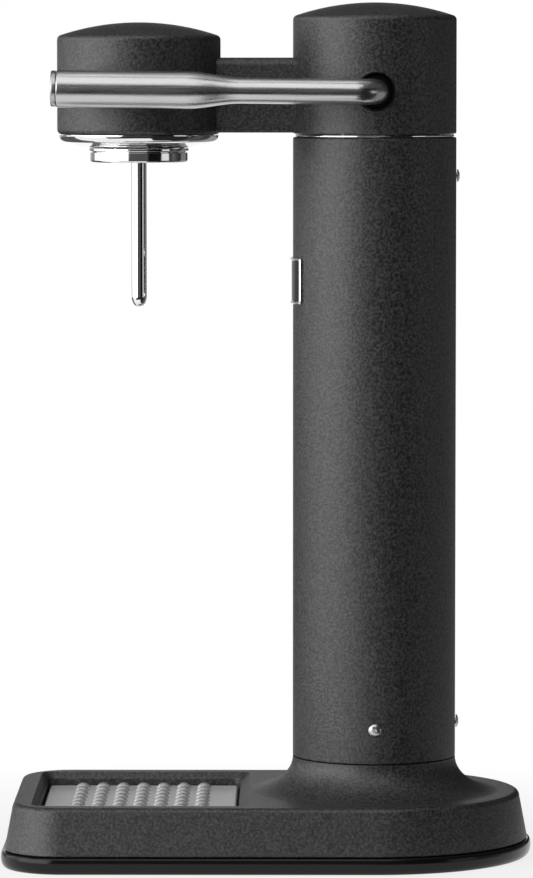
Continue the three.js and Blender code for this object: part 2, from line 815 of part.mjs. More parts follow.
// Bracket: two cheeks on feet, tied by a web behind the cam
function bracketScrewPlaces() {
  const y = cheekInner + bracketFootLength / 2 + cheekThickness;
  return [[0, -y], [0, y]];
}

function leverBracket() {
  const footTop = bracketFoot + cheekThickness;
  const cheekRadius = bushRadius + cheekMargin;
  const webFace = camBaseRadius + webGap;
  const webBack = webFace + webThickness;
  const webFoot = pivotHeight - webDrop;
  const webTop = pivotHeight + webRise;
  const cheeks = [-1, 1].flatMap((side) => {
    const [inner, outer] = [side * cheekInner, side * (cheekInner + cheekThickness)];
    const [y0, y1] = [Math.min(inner, outer), Math.max(inner, outer)];
    const toe = side * (cheekInner + cheekThickness + bracketFootLength);
    const [toe0, toe1] = [Math.min(inner, toe), Math.max(inner, toe)];
    return [
      bar([0, y0, pivotHeight], [0, y1, pivotHeight], cheekRadius, smallSides),
      block([-cheekRadius, y0, bracketFoot], [cheekRadius, y1, pivotHeight]),
      block([0, y0, webFoot], [webBack, y1, webTop]),
      block([-bracketFootHalfLength, toe0, bracketFoot], [bracketFootHalfLength, toe1, footTop]),
    ];
  });
  const reach = cheekInner + cheekThickness;
  const web = block([webFace, -reach, webFoot], [webBack, reach, webTop]);
  const axleHole = bar([0, -reach - overrun, pivotHeight], [0, reach + overrun, pivotHeight],
    bushRadius + fit, smallSides);
  const screwHoles = bracketScrewPlaces().map(([x, y]) => bar(
    [x, y, bracketFoot - overrun], [x, y, footTop + overrun], screwHoleRadius, screwSides));
  return without(joined([...cheeks, web]), [axleHole, ...screwHoles]);
}

// Flanged bush in one cheek, its flange on the outside
function axleBush() {
  const bore = axleRadius + runningFit;
  const flange = cheekThickness + fit;
  const flangeRadius = bushRadius + bushFlangeWidth;
  return turnedRing([
    [bore, -bushTail], [bushRadius, -bushTail], [bushRadius, flange], [flangeRadius, flange],
    [flangeRadius, flange + bushFlangeThickness], [bore, flange + bushFlangeThickness],
  ], smallSides);
}

// The cam's edge in the pivot's own plane, angles from straight down towards the front. Its reach
// in each direction grows evenly with the angle, so a flat pin head moves evenly with the lever.
function camOutline() {
  const full = leverTravel + camOverTravel;
  const lobe = Array.from({ length: camSteps + 1 }, (_, i) => {
    const angle = toRadians(-camLead + ((full + camLead) * i) / camSteps);
    const reach = camBaseRadius + camRise * angle;
    const [downX, downZ] = [-Math.sin(angle), -Math.cos(angle)];
    const [aheadX, aheadZ] = [-Math.cos(angle), Math.sin(angle)];
    return [reach * downX + camRise * aheadX, reach * downZ + camRise * aheadZ];
  });
  const heel = camBaseRadius - camRise * toRadians(camLead);
  return [...lobe, ...arcPoints(0, 0, heel, 150, -60, camSteps - 4)];
}

function leverCam() {
  const shape = new THREE.Shape(camOutline().map(([x, z]) => new THREE.Vector2(x, z)));
  const depth = 2 * camHalfWidth;
  const body = new THREE.ExtrudeGeometry(shape, { depth, bevelEnabled: false });
  body.rotateX(Math.PI / 2).translate(0, camHalfWidth, 0);
  const bore = bar([0, -overrun, 0], [0, overrun, 0], axleRadius + fit, smallSides);
  return solid(body).subtract(bore);
}

// A coil about the Z axis with a straight leg at each end
function coil(radius, wire, turns, pitch, leg) {
  const steps = Math.round(turns * coilSteps);
  const points = Array.from({ length: steps + 1 }, (_, i) => (
    onCircle(radius, (360 * turns * i) / steps, (pitch * turns * i) / steps)));
  if (leg > 0) {
    points.unshift([radius, -leg, 0]);
    const [x, y, z] = points[points.length - 1];
    points.push([x - (leg * y) / radius, y + (leg * x) / radius, z]);
  }
  return rod(points, wire, [0, 0, 1], wireSides);
}

// Lever arm: in from the hub, round the elbow, along the rod and out into the fat grip
function leverArm() {
  const elbow = arcPoints(-leverElbowRadius, -leverOffset + leverElbowRadius, leverElbowRadius,
    0, -90, flareSteps);
  const path = [[0, -leverInnerEnd, 0], ...elbow.map(([x, y]) => [x, y, 0])];
  const radii = path.map(() => leverRodRadius);
  for (let i = 0; i <= taperSteps; i += 1) {
    const along = i / taperSteps;
    const swell = (1 - Math.cos(Math.PI * along)) / 2;
    path.push([-taperEnd - (gripRear - taperEnd) * along, -leverOffset, 0]);
    radii.push(leverRodRadius + (gripMaxRadius - leverRodRadius) * swell);
  }
  path.push([-gripFront, -leverOffset, 0]);
  radii.push(gripFrontRadius);
  const arm = rod(path, radii, [0, 0, 1], smallSides);
  const axleSocket = bar([0, -leverInnerEnd + overrun, 0], [0, -leverInnerEnd - axleSocketDepth, 0],
    axleRadius + fit);
  const plugSocket = bar([-gripFront - overrun, -leverOffset, 0],
    [-gripFront + endCapPlugLength + fit, -leverOffset, 0], endCapPlugRadius + fit);
  return without(arm, [axleSocket, plugSocket]);
}

function leverEndCap() {
  const radius = gripFrontRadius - endCapStep;
  const cap = turned([
    [0, -endCapPlugLength], [endCapPlugRadius, -endCapPlugLength], [endCapPlugRadius, fit],
    [radius, fit], [radius, endCapLength - endCapEdge], [radius - endCapEdge, endCapLength],
    [0, endCapLength],
  ], smallSides);
  return cap.rotate([0, -90, 0]).translate([-gripFront, -leverOffset, 0]);
}

function leverHub() {
  const hub = washer(leverRodRadius + fit, hubRadius, 0, hubLength, smallSides);
  const screwHole = bar([0, 0, hubLength / 2], [0, hubRadius + overrun, hubLength / 2],
    hubScrewRadius + fit, screwSides);
  return hub.subtract(screwHole);
}

// Valve block: takes the gas cylinder's thread from below and guides the push pin above it
function valveBlock() {
  const threadBore = valveThreadRadius + fit;
  const roof = springWellFloor - blockWeb;
  const body = turnedRing([
    [threadBore, blockSpigotBottom], [blockSpigotRadius, blockSpigotBottom],
    [blockSpigotRadius, bracketFoot], [blockRadius, bracketFoot], [blockRadius, blockTop],
    [springWellRadius, blockTop], [springWellRadius, springWellFloor],
    [pinRadius + fit, springWellFloor], [pinRadius + fit, roof], [threadBore, roof],
  ], innerSides);
  const tip = blockRadius + portLength;
  const port = bar([-blockRadius + portRoot, 0, portHeight], [-tip, 0, portHeight], portRadius);
  const bore = bar([-blockRadius + pipeEntry, 0, portHeight], [-tip - overrun, 0, portHeight],
    pipeRadius + fit, screwSides);
  return body.add(port).subtract(bore);
}

function ringNut() {
  const top = carrierBottom - fit;
  const radius = blockSpigotRadius + ringNutWall;
  const nut = bar([0, 0, top - ringNutHeight], [0, 0, top], radius, hexSides);
  return nut.subtract(bar([0, 0, top - ringNutHeight - overrun], [0, 0, top + overrun],
    blockSpigotRadius + fit, innerSides));
}

function valveGasket() {
  return washer(gasketHoleRadius, valveThreadRadius, cylinderValveTop + fit,
    cylinderValveTop + fit + gasketThickness, innerSides);
}

function pushPin() {
  const tip = cylinderValveTop + fit;
  const shoulder = pinHeadTop - pinHeadHeight;
  return turned([
    [0, tip], [pinRadius, tip], [pinRadius, shoulder], [pinHeadRadius, shoulder],
    [pinHeadRadius, pinHeadTop], [0, pinHeadTop],
  ], smallSides);
}

function pinSpring() {
  const bottom = springWellFloor + fit + pinSpringWire;
  const top = pinHeadTop - pinHeadHeight - fit - pinSpringWire;
  const pitch = (top - bottom) / pinSpringTurns;
  return coil(pinSpringRadius, pinSpringWire, pinSpringTurns, pitch, 0).translate([0, 0, bottom]);
}

// Gas cylinder: a drawn shell with a dished foot, a round shoulder and an open neck
function gasCylinderWalls(inset) {
  const radius = gasCylinderRadius - inset;
  const neck = inset > 0 ? valvePlugRadius + fit : gasCylinderNeckRadius;
  const foot = gasCylinderBottom + inset;
  const bend = gasCylinderFootRadius - inset / 2;
  const rise = neckFoot - gasCylinderShoulder;
  const shoulder = arcPoints(0, 0, 1, 0, 90, edgeSteps).map(([across, up]) => (
    [neck + (radius - neck) * across, gasCylinderShoulder + rise * up - inset]));
  return [
    [0, foot + bend / 2], ...arcPoints(radius - bend, foot + bend, bend, -90, 0, edgeSteps), ...shoulder,
  ];
}

function gasCylinder() {
  const outside = turned([
    ...gasCylinderWalls(0), [gasCylinderNeckRadius, neckTop], [0, neckTop]], innerSides);
  const inside = turned([
    ...gasCylinderWalls(gasCylinderWall), [valvePlugRadius + fit, neckTop + overrun],
    [0, neckTop + overrun]], innerSides);
  return outside.subtract(inside);
}

function cylinderValve() {
  const collarFoot = neckTop + fit;
  const plugFoot = neckTop - valvePlugLength;
  const collarEnd = collarFoot + valveCollarHeight;
  const pinHole = cylinderValveTop - valvePinHoleDepth;
  return turned([
    [0, plugFoot], [valvePlugRadius, plugFoot], [valvePlugRadius, collarFoot],
    [valveCollarRadius, collarFoot], [valveCollarRadius, collarEnd], [valveThreadRadius, collarEnd],
    [valveThreadRadius, cylinderValveTop], [valvePinHoleRadius, cylinderValveTop],
    [valvePinHoleRadius, pinHole], [0, pinHole],
  ], innerSides);
}

// Gas pipe: straight out of the valve block, up through the bridge and into the nozzle block
function gasPipe() {
  const pipeHeadEnd = blockRadius - pipeEntry - fit + portLength;
  const pipeDrumEnd = drumReach - nozzlePortTip + pipeEntry;
  const bendStart = blockRadius + portLength + pipeNutLength + 2 * fit;
  const bendEnd = pipeDrumEnd - pipeNutLength - pipeEntry - overrun;
  const rise = nozzlePortHeight - portHeight;
  const points = [[-pipeHeadEnd, 0, portHeight]];
  for (let i = 0; i <= pipeSteps; i += 1) {
    const along = i / pipeSteps;
    const lift = (1 - Math.cos(Math.PI * along)) / 2;
    points.push([-bendStart - (bendEnd - bendStart) * along, 0, portHeight + rise * lift]);
  }
  points.push([-pipeDrumEnd, 0, nozzlePortHeight]);
  return rod(points, pipeRadius, [0, 1, 0], pipeSides);
}

function pipeNut() {
  const nut = bar([0, 0, 0], [pipeNutLength, 0, 0], pipeNutRadius, hexSides);
  return nut.subtract(bar([-overrun, 0, 0], [pipeNutLength + overrun, 0, 0], pipeRadius + fit, pipeSides));
}

// Drum plate: the polished dish under the drum, with a ring that locates it in the housing
function drumPlate() {
  const top = plateFace + plateThickness;
  const beadTop = drumBottom - fit;
  const dishEdge = plateFace + plateDishRise;
  const ringOuter = columnRadius - headWall - fit;
  const ringInner = ringOuter - plateRingWall;
  const bead = arcPoints(0, 0, 1, -90, 0, edgeSteps).map(([across, up]) => [
    plateDishRadius + (plateBeadRadius - plateDishRadius) * across,
    beadTop + (beadTop - dishEdge) * up,
  ]);
  const plate = turnedRing([
    [collarBoreRadius, plateFace], [collarRadius, plateFace], ...bead,
    [ringOuter, beadTop], [ringOuter, beadTop + plateRingHeight],
    [ringInner, beadTop + plateRingHeight], [ringInner, beadTop],
    [nozzleFlangeRadius + fit, top], [collarBoreRadius, top],
  ]);
  return without(plate, collarScrewHoles());
}

function collarScrewHoles() {
  return collarScrewAngles.map((angle) => bar(
    onCircle(collarScrewReach, angle, collarBottom - overrun),
    onCircle(collarScrewReach, angle, collarTop + 2 * overrun),
    collarScrewShankRadius + fit, screwSides));
}

// Bottle collar: a lipped and grooved ring with inward lugs that hold the bottle's neck
function bottleCollar() {
  const groove = collarTop - collarLip;
  const waist = groove - collarGroove;
  const body = collarRadius - collarLipWidth;
  const ring = turnedRing([
    [collarBoreRadius, collarBottom], [body - collarEdge, collarBottom],
    [body, collarBottom + collarEdge], [body, waist], [body - collarGrooveDepth, waist],
    [body - collarGrooveDepth, groove], [collarRadius, groove], [collarRadius, collarTop],
    [collarBoreRadius, collarTop],
  ], collarSides);
  const lugs = collarLugAngles.map((facing) => ringSlice(
    collarBoreRadius - collarLugDepth, collarBoreRadius + collarLugDepth / 2, facing,
    collarLugHalfAngle, collarBottom + fit, collarBottom + fit + collarLugHeight, 4));
  const sinkTop = collarBottom + collarScrewHeadHeight + fit;
  const sinks = collarScrewAngles.map((angle) => bar(
    onCircle(collarScrewReach, angle, collarBottom - overrun),
    onCircle(collarScrewReach, angle, sinkTop), collarScrewHeadRadius + fit, screwSides));
  return without(ring.add(joined(lugs)), [...sinks, ...collarScrewHoles()]);
}

// Nozzle block: a cup for the bottle's neck, with the gas port and the relief valve on top
function nozzleBlock() {
  const flangeTop = nozzleBlockFoot + nozzleFlangeHeight;
  const tubeBore = nozzleRadius + fit;
  const body = turnedRing([
    [collarBoreRadius, nozzleBlockFoot], [nozzleFlangeRadius, nozzleBlockFoot],
    [nozzleFlangeRadius, flangeTop], [nozzleBlockRadius, flangeTop],
    [nozzleBlockRadius, nozzleShoulder],
    [nozzleBossRadius, nozzleShoulder], [nozzleBossRadius, nozzleBossTop],
    [reliefStemRadius + fit, nozzleBossTop], [reliefStemRadius + fit, nozzleTop + fit],
    [tubeBore, nozzleTop + fit], [tubeBore, neckSocketTop], [collarBoreRadius, neckSocketTop],
  ], innerSides);
  const port = bar([nozzleBossRadius / 2 + reliefStemRadius, 0, nozzlePortHeight],
    [nozzlePortTip, 0, nozzlePortHeight], portRadius);
  const bore = bar([0, 0, nozzlePortHeight], [nozzlePortTip + overrun, 0, nozzlePortHeight],
    pipeRadius + fit, screwSides);
  const holes = collarScrewAngles.map((angle) => bar(
    onCircle(collarScrewReach, angle, nozzleBlockFoot - overrun),
    onCircle(collarScrewReach, angle, flangeTop + overrun),
    collarScrewShankRadius + fit, screwSides));
  return without(body.add(port), [bore, ...holes]);
}

function bottleGasket() {
  const top = neckSocketTop - fit;
  return washer(nozzleRadius + fit, collarBoreRadius - bottleGasketGap, top - bottleGasketThickness,
    top, innerSides);
}

// Nozzle: a straight drawn tube with a bullet nose, bored right through
function nozzleTube() {
  const nose = arcPoints(0, 0, 1, -75, 0, cornerSteps).map(([across, up]) => [
    nozzleRadius * across, nozzleTip + nozzleTipLength * (1 + up)]);
  const low = nose[0][1];
  const outside = turned([[0, low], ...nose, [nozzleRadius, nozzleTop], [0, nozzleTop]], smallSides);
  return outside.subtract(bar([0, 0, nozzleTip - overrun], [0, 0, nozzleTop + overrun],
    nozzleBoreRadius, screwSides));
}

function reliefValve() {
  const seat = nozzleBossTop + fit;
  const stem = turned([
    [0, seat - reliefStemLength], [reliefStemRadius, seat - reliefStemLength],
    [reliefStemRadius, seat + fit], [0, seat + fit]], screwSides);
  const cap = turned([
    [0, seat], [reliefRadius, seat], [reliefRadius, seat + reliefHexHeight],
    [reliefNoseRadius, seat + reliefHexHeight], [reliefNoseRadius, seat + reliefHeight],
    [0, seat + reliefHeight],
  ], hexSides);
  return stem.add(cap);
}

// Assembly, about the column's axis
const machine = new THREE.Group();
machine.position.x = columnX;
const drumAxis = new THREE.Group();
drumAxis.position.x = -drumReach;
const pivot = new THREE.Group();
pivot.position.z = pivotHeight;
const lever = new THREE.Group();
lever.rotation.y = toRadians(leverTilt);
pivot.add(lever);
machine.add(drumAxis, pivot);

machine.add(
  piece('base_shell', baseShell(), blackPaint),
  piece('foot_ring', footRing(), blackGloss),
  piece('bottom_plate', bottomPlate(), greyPlastic),
  piece('drip_plate', dripPlate(), satinSteel),
  piece('column_tube', columnTube(), blackPaint),
  piece('badge_frame', badgeFrame(), polished),
  piece('badge_plate', badgePlate(), blackGloss),
  piece('head_carrier', headCarrier(), plainSteel),
  piece('trim_ring', trimRing(), polished),
  piece('head_housing', headHousing(), blackPaint),
  piece('lever_bracket', leverBracket(), plainSteel),
  piece('valve_block', valveBlock(), brass),
  piece('valve_ring_nut', ringNut(), brass),
  piece('valve_gasket', valveGasket(), blackRubber),
  piece('push_pin', pushPin(), plainSteel),
  piece('pin_spring', pinSpring(), screwSteel),
  piece('gas_pipe', gasPipe(), plainSteel),
  piece('gas_cylinder', gasCylinder(), greyEnamel),
  piece('cylinder_valve', cylinderValve(), brass),
);

// Screws, with their heads facing out from what they hold
bottomScrewPlaces().forEach(([x, y], i) => {
  machine.add(placedScrew(`bottom_screw_${i + 1}`, [x, y, bottomPlateFace - fit], [0, 0, -1]));
});
Object.entries(lowerScrewAngles).forEach(([name, angle]) => {
  const seat = onCircle(columnRadius + fit, angle, lowerScrewHeight);
  machine.add(placedScrew(name, seat, onCircle(1, angle, 0)));
});
machine.add(placedScrew('rear_screw_upper', [columnRadius + fit, 0, upperScrewHeight], [1, 0, 0]));
headBossAngles.forEach((angle, i) => {
  const seat = onCircle(headBossReach, angle, carrierBottom - fit);
  const length = carrierThickness + headSeam + screwLength - 2 * fit;
  machine.add(placedScrew(`head_screw_${i + 1}`, seat, [0, 0, -1], buttonScrew(length)));
});
bracketScrewPlaces().forEach(([x, y], i) => {
  const seat = [x, y, bracketFoot + cheekThickness + fit];
  machine.add(placedScrew(`bracket_screw_${i + 1}`, seat, [0, 0, 1]));
});

// Pieces about the drum's axis
drumAxis.add(
  piece('drum_plate', drumPlate(), polished),
  piece('bottle_collar', bottleCollar(), polished),
  piece('nozzle_block', nozzleBlock(), greyPlastic),
  piece('bottle_gasket', bottleGasket(), blackRubber),
  piece('nozzle_tube', nozzleTube(), polished),
  piece('relief_valve', reliefValve(), brass),
);
collarScrewAngles.forEach((angle, i) => {
  const seat = onCircle(collarScrewReach, angle, collarBottom + collarScrewHeadHeight);
  const shape = buttonScrew(collarScrewLength, collarScrewHeadRadius, collarScrewHeadHeight,
    collarScrewShankRadius);
  drumAxis.add(placedScrew(`collar_screw_${i + 1}`, seat, [0, 0, -1], shape));
});

// Nuts at the two ends of the pipe
const valveNut = piece('pipe_nut_valve', pipeNut(), brass);
valveNut.position.set(-blockRadius - portLength - pipeNutLength - fit, 0, portHeight);
const nozzleNut = piece('pipe_nut_nozzle', pipeNut(), brass);
nozzleNut.position.set(nozzlePortTip + fit, 0, nozzlePortHeight);
machine.add(valveNut);
drumAxis.add(nozzleNut);

// Pieces about the lever's axle
const clipPlace = bushEnd + fit;
const axleNearEnd = leverInnerEnd + axleSocketDepth - fit;
const axleFarEnd = clipPlace + 2 * clipThickness;
const nearBush = piece('axle_bush_near', axleBush(), brass);
nearBush.position.y = -cheekInner;
nearBush.rotation.x = Math.PI / 2;
const farBush = piece('axle_bush_far', axleBush(), brass);
farBush.position.y = cheekInner;
farBush.rotation.x = -Math.PI / 2;
const axle = piece('lever_axle', bar([0, -axleNearEnd, 0], [0, axleFarEnd, 0], axleRadius), plainSteel);
const clip = piece('axle_clip', washer(axleRadius + fit, axleRadius + clipWidth, 0, clipThickness,
  smallSides), plainSteel);
clip.position.y = clipPlace;
clip.rotation.x = -Math.PI / 2;
const spring = piece('return_spring', coil(returnSpringRadius, returnSpringWire, returnSpringTurns,
  returnSpringPitch, returnSpringLeg), screwSteel);
spring.position.y = camHalfWidth + fit + returnSpringWire;
spring.rotation.x = -Math.PI / 2;
pivot.add(nearBush, farBush, axle, clip, spring, piece('lever_cam', leverCam(), plainSteel));

const hub = piece('lever_hub', leverHub(), plainSteel);
hub.position.y = -leverInnerEnd - fit;
hub.rotation.x = Math.PI / 2;
const hubMiddle = hub.position.y - hubLength / 2;
const hubScrew = bar([0, hubMiddle, leverRodRadius + fit], [0, hubMiddle, hubRadius + fit],
  hubScrewRadius, screwSides);
lever.add(
  piece('lever_arm', leverArm(), satinSteel),
  piece('lever_end_cap', leverEndCap(), polished),
  hub,
  piece('hub_screw', hubScrew, screwSteel),
);

const group = new THREE.Group();
group.add(machine);

export default group;
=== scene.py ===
# %% [markdown]
# # A sparkling water maker, dressed for the camera
#
# The construction model holds every piece of this machine at its real size: a cast base, a slim
# column with a gas cylinder inside it, and a head shaped like a dumbbell with a nozzle and a lever.
# Its surfaces are faceted, because it is made to be built and moved. This lesson puts finely made
# surfaces in the place of what the eye sees, and gives each piece the finish of the real one.
#
# All sizes are metres. Sizes that the construction model knows are read from it, so that a new
# surface always lands where the old one was.

# %% Load the construction model
import json
from math import asin, atan2, cos, degrees, hypot, pi, radians, sin, sqrt, tan

import bmesh
import bpy
from mathutils import Euler, Matrix, Vector


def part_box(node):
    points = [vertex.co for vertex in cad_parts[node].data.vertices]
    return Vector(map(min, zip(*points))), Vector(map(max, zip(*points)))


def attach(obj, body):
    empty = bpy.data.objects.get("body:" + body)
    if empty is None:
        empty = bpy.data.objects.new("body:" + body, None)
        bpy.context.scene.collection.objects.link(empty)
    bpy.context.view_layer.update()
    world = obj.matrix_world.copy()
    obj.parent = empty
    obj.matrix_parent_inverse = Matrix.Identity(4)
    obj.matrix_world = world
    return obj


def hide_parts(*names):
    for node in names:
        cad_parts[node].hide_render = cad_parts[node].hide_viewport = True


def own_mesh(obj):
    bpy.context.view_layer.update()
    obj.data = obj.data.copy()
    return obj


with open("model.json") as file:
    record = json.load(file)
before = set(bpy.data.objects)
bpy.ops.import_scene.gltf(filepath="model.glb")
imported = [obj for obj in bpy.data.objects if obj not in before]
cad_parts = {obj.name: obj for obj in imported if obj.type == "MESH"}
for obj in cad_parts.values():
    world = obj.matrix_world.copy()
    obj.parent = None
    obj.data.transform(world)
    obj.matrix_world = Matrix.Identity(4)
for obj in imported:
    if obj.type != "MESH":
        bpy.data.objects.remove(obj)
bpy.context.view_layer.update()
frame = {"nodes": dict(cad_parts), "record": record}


def size_of(node):
    low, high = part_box(node)
    return high - low


def middle_of(node):
    low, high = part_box(node)
    return (low + high) / 2


column_low, column_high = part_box("column_tube")
ring_low, ring_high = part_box("foot_ring")
head_low, head_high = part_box("head_housing")
column_radius = size_of("column_tube").x / 2
column_x = middle_of("column_tube").x
drum_x = middle_of("nozzle_tube").x
pivot = middle_of("lever_axle")
print("column at x", round(column_x, 4), "drum at x", round(drum_x, 4), "pivot at z", round(pivot.z, 4))

# %% [markdown]
# ## Turned pieces
#
# Most of this machine was made on a lathe or could have been: the column, both round heads, the
# collar and the nozzle. Blender can turn a curve with a Screw modifier, but then each sharp corner
# of the drawing stays sharp. Real corners are always a little round, and that thin round edge is
# what catches the light. So the drawing of a piece is a list of corners, each with its own radius,
# and a helper rounds them before the drawing is turned about its axis.

# %% Rounded outlines
share_of_side = 0.49
on_axis = 1e-7


def rounded(corners, closed=True, steps=4):
    """Corners are (across, up, radius). Each is replaced by an arc that touches both its sides."""
    points = []
    count = len(corners)
    for i, corner in enumerate(corners):
        here = Vector(corner[:2])
        radius = corner[2] if len(corner) > 2 else 0
        at_end = not closed and i in (0, count - 1)
        if radius == 0 or at_end:
            points.append(here)
            continue
        back = Vector(corners[i - 1][:2]) - here
        ahead = Vector(corners[(i + 1) % count][:2]) - here
        half = back.angle(ahead) / 2
        reach = min(radius / tan(half), *(side.length * share_of_side for side in (back, ahead)))
        radius = reach * tan(half)
        centre = here + (back.normalized() + ahead.normalized()).normalized() * radius / sin(half)
        first = here + back.normalized() * reach - centre
        last = here + ahead.normalized() * reach - centre
        turn = first.angle_signed(last)
        points += [centre + Matrix.Rotation(-turn * step / steps, 2) @ first for step in range(steps + 1)]
    return points


def turned(profile, axis_x=0.0, sides=128, closed=True):
    """The profile's (radius, height) points turned about an upright axis, as a new bmesh."""
    shape = bmesh.new()
    angles = [2 * pi * i / sides for i in range(sides)]
    rings = []
    for radius, height in profile:
        if radius < on_axis:
            rings.append([shape.verts.new((axis_x, 0, height))] * sides)
        else:
            rings.append([shape.verts.new((axis_x + radius * cos(a), radius * sin(a), height))
                          for a in angles])
    for lower, upper in zip(rings, rings[1:] + rings[:1] if closed else rings[1:]):
        for i in range(sides):
            k = (i + 1) % sides
            corners = [lower[i], lower[k], upper[k], upper[i]]
            corners = [v for j, v in enumerate(corners) if v not in corners[:j]]
            if len(corners) > 2:
                shape.faces.new(corners)
    bmesh.ops.recalc_face_normals(shape, faces=shape.faces)
    return shape


def lofted(loops, closed=False):
    """Loops of equally many points skinned in order; an open run gets a cap at each end."""
    shape = bmesh.new()
    rings = [[shape.verts.new(point) for point in loop] for loop in loops]
    for lower, upper in zip(rings, rings[1:] + rings[:1] if closed else rings[1:]):
        for i in range(len(lower)):
            k = (i + 1) % len(lower)
            shape.faces.new((lower[i], lower[k], upper[k], upper[i]))
    if not closed:
        shape.faces.new(rings[0])
        shape.faces.new(rings[-1])
    bmesh.ops.recalc_face_normals(shape, faces=shape.faces)
    return shape


def arc(centre_x, centre_y, radius, start, end, steps, rise=None):
    """Points on an arc, both ends included, angles in degrees. With a rise it is an ellipse's."""
    rise = radius if rise is None else rise
    angles = [radians(start + (end - start) * i / steps) for i in range(steps + 1)]
    return [(centre_x + radius * cos(a), centre_y + rise * sin(a)) for a in angles]


def band(inner, outer, low, high, inner_edge, outer_edge):
    """The four corners of a ring's section, each with its radius."""
    return [(inner, low, inner_edge), (outer, low, outer_edge), (outer, high, outer_edge),
            (inner, high, inner_edge)]


def rectangle(x0, x1, half_width, radius, height, steps):
    """A level rectangle with round corners, from x0 to x1 and as wide to both sides."""
    x0, x1, y = x0 + radius, x1 - radius, half_width - radius
    return [(px, py, height) for i, (x, side) in enumerate(((x1, y), (x0, y), (x0, -y), (x1, -y)))
            for px, py in arc(x, side, radius, 90 * i, 90 * i + 90, steps)]


print("a rounded square has", len(rounded([(0, 0, 0.1), (1, 0, 0.1), (1, 1, 0.1), (0, 1, 0.1)])), "points")

# %% [markdown]
# ## Joining and cutting
#
# A casting is one piece of metal, so its parts are joined and its openings cut with exact Boolean
# operations, as a foundry's pattern maker would add and carve wood. Each result is made a plain
# mesh at once. Flat faces then keep flat shading through weighted normals, and only corners
# sharper than a set angle stay sharp.

# %% Solids and their changes
upright = (0, 0, 1)


def solid(shape, name="tool"):
    mesh = bpy.data.meshes.new(name)
    shape.to_mesh(mesh)
    shape.free()
    made = bpy.data.objects.new(name, mesh)
    bpy.context.scene.collection.objects.link(made)
    return made


def lathed(corners, axis_x, sides=128, closed=True):
    """A turned solid, from corners that have their radii with them."""
    return solid(turned(rounded(corners, closed), axis_x, sides, closed))


def settled(made):
    """The object with its modifiers applied to a plain mesh."""
    bpy.context.view_layer.update()
    mesh = bpy.data.meshes.new_from_object(made.evaluated_get(bpy.context.evaluated_depsgraph_get()))
    made.modifiers.clear()
    made.data = mesh
    return made


def combined(body, tool, operation):
    step = body.modifiers.new("step", "BOOLEAN")
    step.operation = operation
    step.solver = "EXACT"
    step.object = tool
    settled(body)
    bpy.data.objects.remove(tool)
    return body


def joined(body, tool):
    return combined(body, tool, "UNION")


def cut(body, tool):
    return combined(body, tool, "DIFFERENCE")


def round_tool(place, direction, radius, length, sides=24):
    """A round cutting tool, its middle at a place."""
    tool = turned([(0, -length / 2), (radius, -length / 2), (radius, length / 2), (0, length / 2)],
                  closed=False, sides=sides)
    turn = Vector(upright).rotation_difference(Vector(direction)).to_matrix().to_4x4()
    tool.transform(Matrix.Translation(place) @ turn)
    return solid(tool)


def eased(body, chosen, width, crease=25, segments=3):
    """Rounds the edges that turn by more than the crease and whose middle point is chosen."""
    shape = bmesh.new()
    shape.from_mesh(body.data)
    weight = shape.edges.layers.float.new("bevel_weight_edge")
    found = [edge for edge in shape.edges if not edge.is_manifold or edge.calc_face_angle() > radians(crease)]
    found = [edge for edge in found if chosen((edge.verts[0].co + edge.verts[1].co) / 2)]
    for edge in found:
        edge[weight] = 1
    shape.to_mesh(body.data)
    shape.free()
    round_off = body.modifiers.new("ease", "BEVEL")
    round_off.limit_method = "WEIGHT"
    round_off.width = width
    round_off.segments = segments
    print("  eased", len(found), "edges of", body.name)
    return settled(body)


print("shapes can be joined, cut and eased")

# %% Finished pieces
def finished(made, name, finish, body, *nodes, sharp=35):
    """Names a piece, shades it, gives it its finish and puts it in the place of what it stands for."""
    made.name = made.data.name = name
    made.data.materials.clear()
    made.data.materials.append(finish)
    made.data.polygons.foreach_set("use_smooth", [True] * len(made.data.polygons))
    made.data.set_sharp_from_angle(angle=radians(sharp))
    flatten = made.modifiers.new("weighted", "WEIGHTED_NORMAL")
    flatten.keep_sharp = True
    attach(made, body)
    if nodes:
        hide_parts(*nodes)
    print(name, "has", len(made.data.polygons), "faces")
    return made


# %% [markdown]
# ## Finishes
#
# Each finish is a node material that reads the object's own coordinates, so that its grain has a
# real size in metres and stays put when a piece moves. The castings and the column wear a fine
# textured powder coat: the powder melts into tiny hills, which are seen as a salt and pepper grain.
# One helper lays the grain, and each finish then sets its own numbers. Many finishes vary only in
# how rough they are, from spot to spot, and one function makes all of those.

# %% Material helpers
def nodes_in(tree, *kinds):
    return [tree.nodes.new(kind) for kind in kinds]


def wired(tree, *runs):
    """Links nodes. A run names a node, its output, the next node and that one's input."""
    for source, output, target, entry in runs:
        tree.links.new(source.outputs[output], target.inputs[entry])


def shader_of(finish):
    return finish.node_tree.nodes["Principled BSDF"]


def new_finish(name, record_slot, colour, roughness, metallic=0.0):
    finish = bpy.data.materials.new(name)
    finish.use_nodes = True
    finish["record_slot"] = record_slot
    for entry, value in (("Base Color", (*colour, 1)), ("Roughness", roughness), ("Metallic", metallic)):
        shader_of(finish).inputs[entry].default_value = value
    return finish


def grain(finish, scale, detail=2.0, stretch=(1, 1, 1)):
    """A noise in the object's own coordinates, scale in grains to the metre."""
    tree = finish.node_tree
    place, mapping, noise = nodes_in(tree, "ShaderNodeTexCoord", "ShaderNodeMapping", "ShaderNodeTexNoise")
    mapping.inputs["Scale"].default_value = stretch
    noise.inputs["Scale"].default_value = scale
    noise.inputs["Detail"].default_value = detail
    wired(tree, (place, "Object", mapping, "Vector"), (mapping, "Vector", noise, "Vector"))
    return noise.outputs["Fac"]


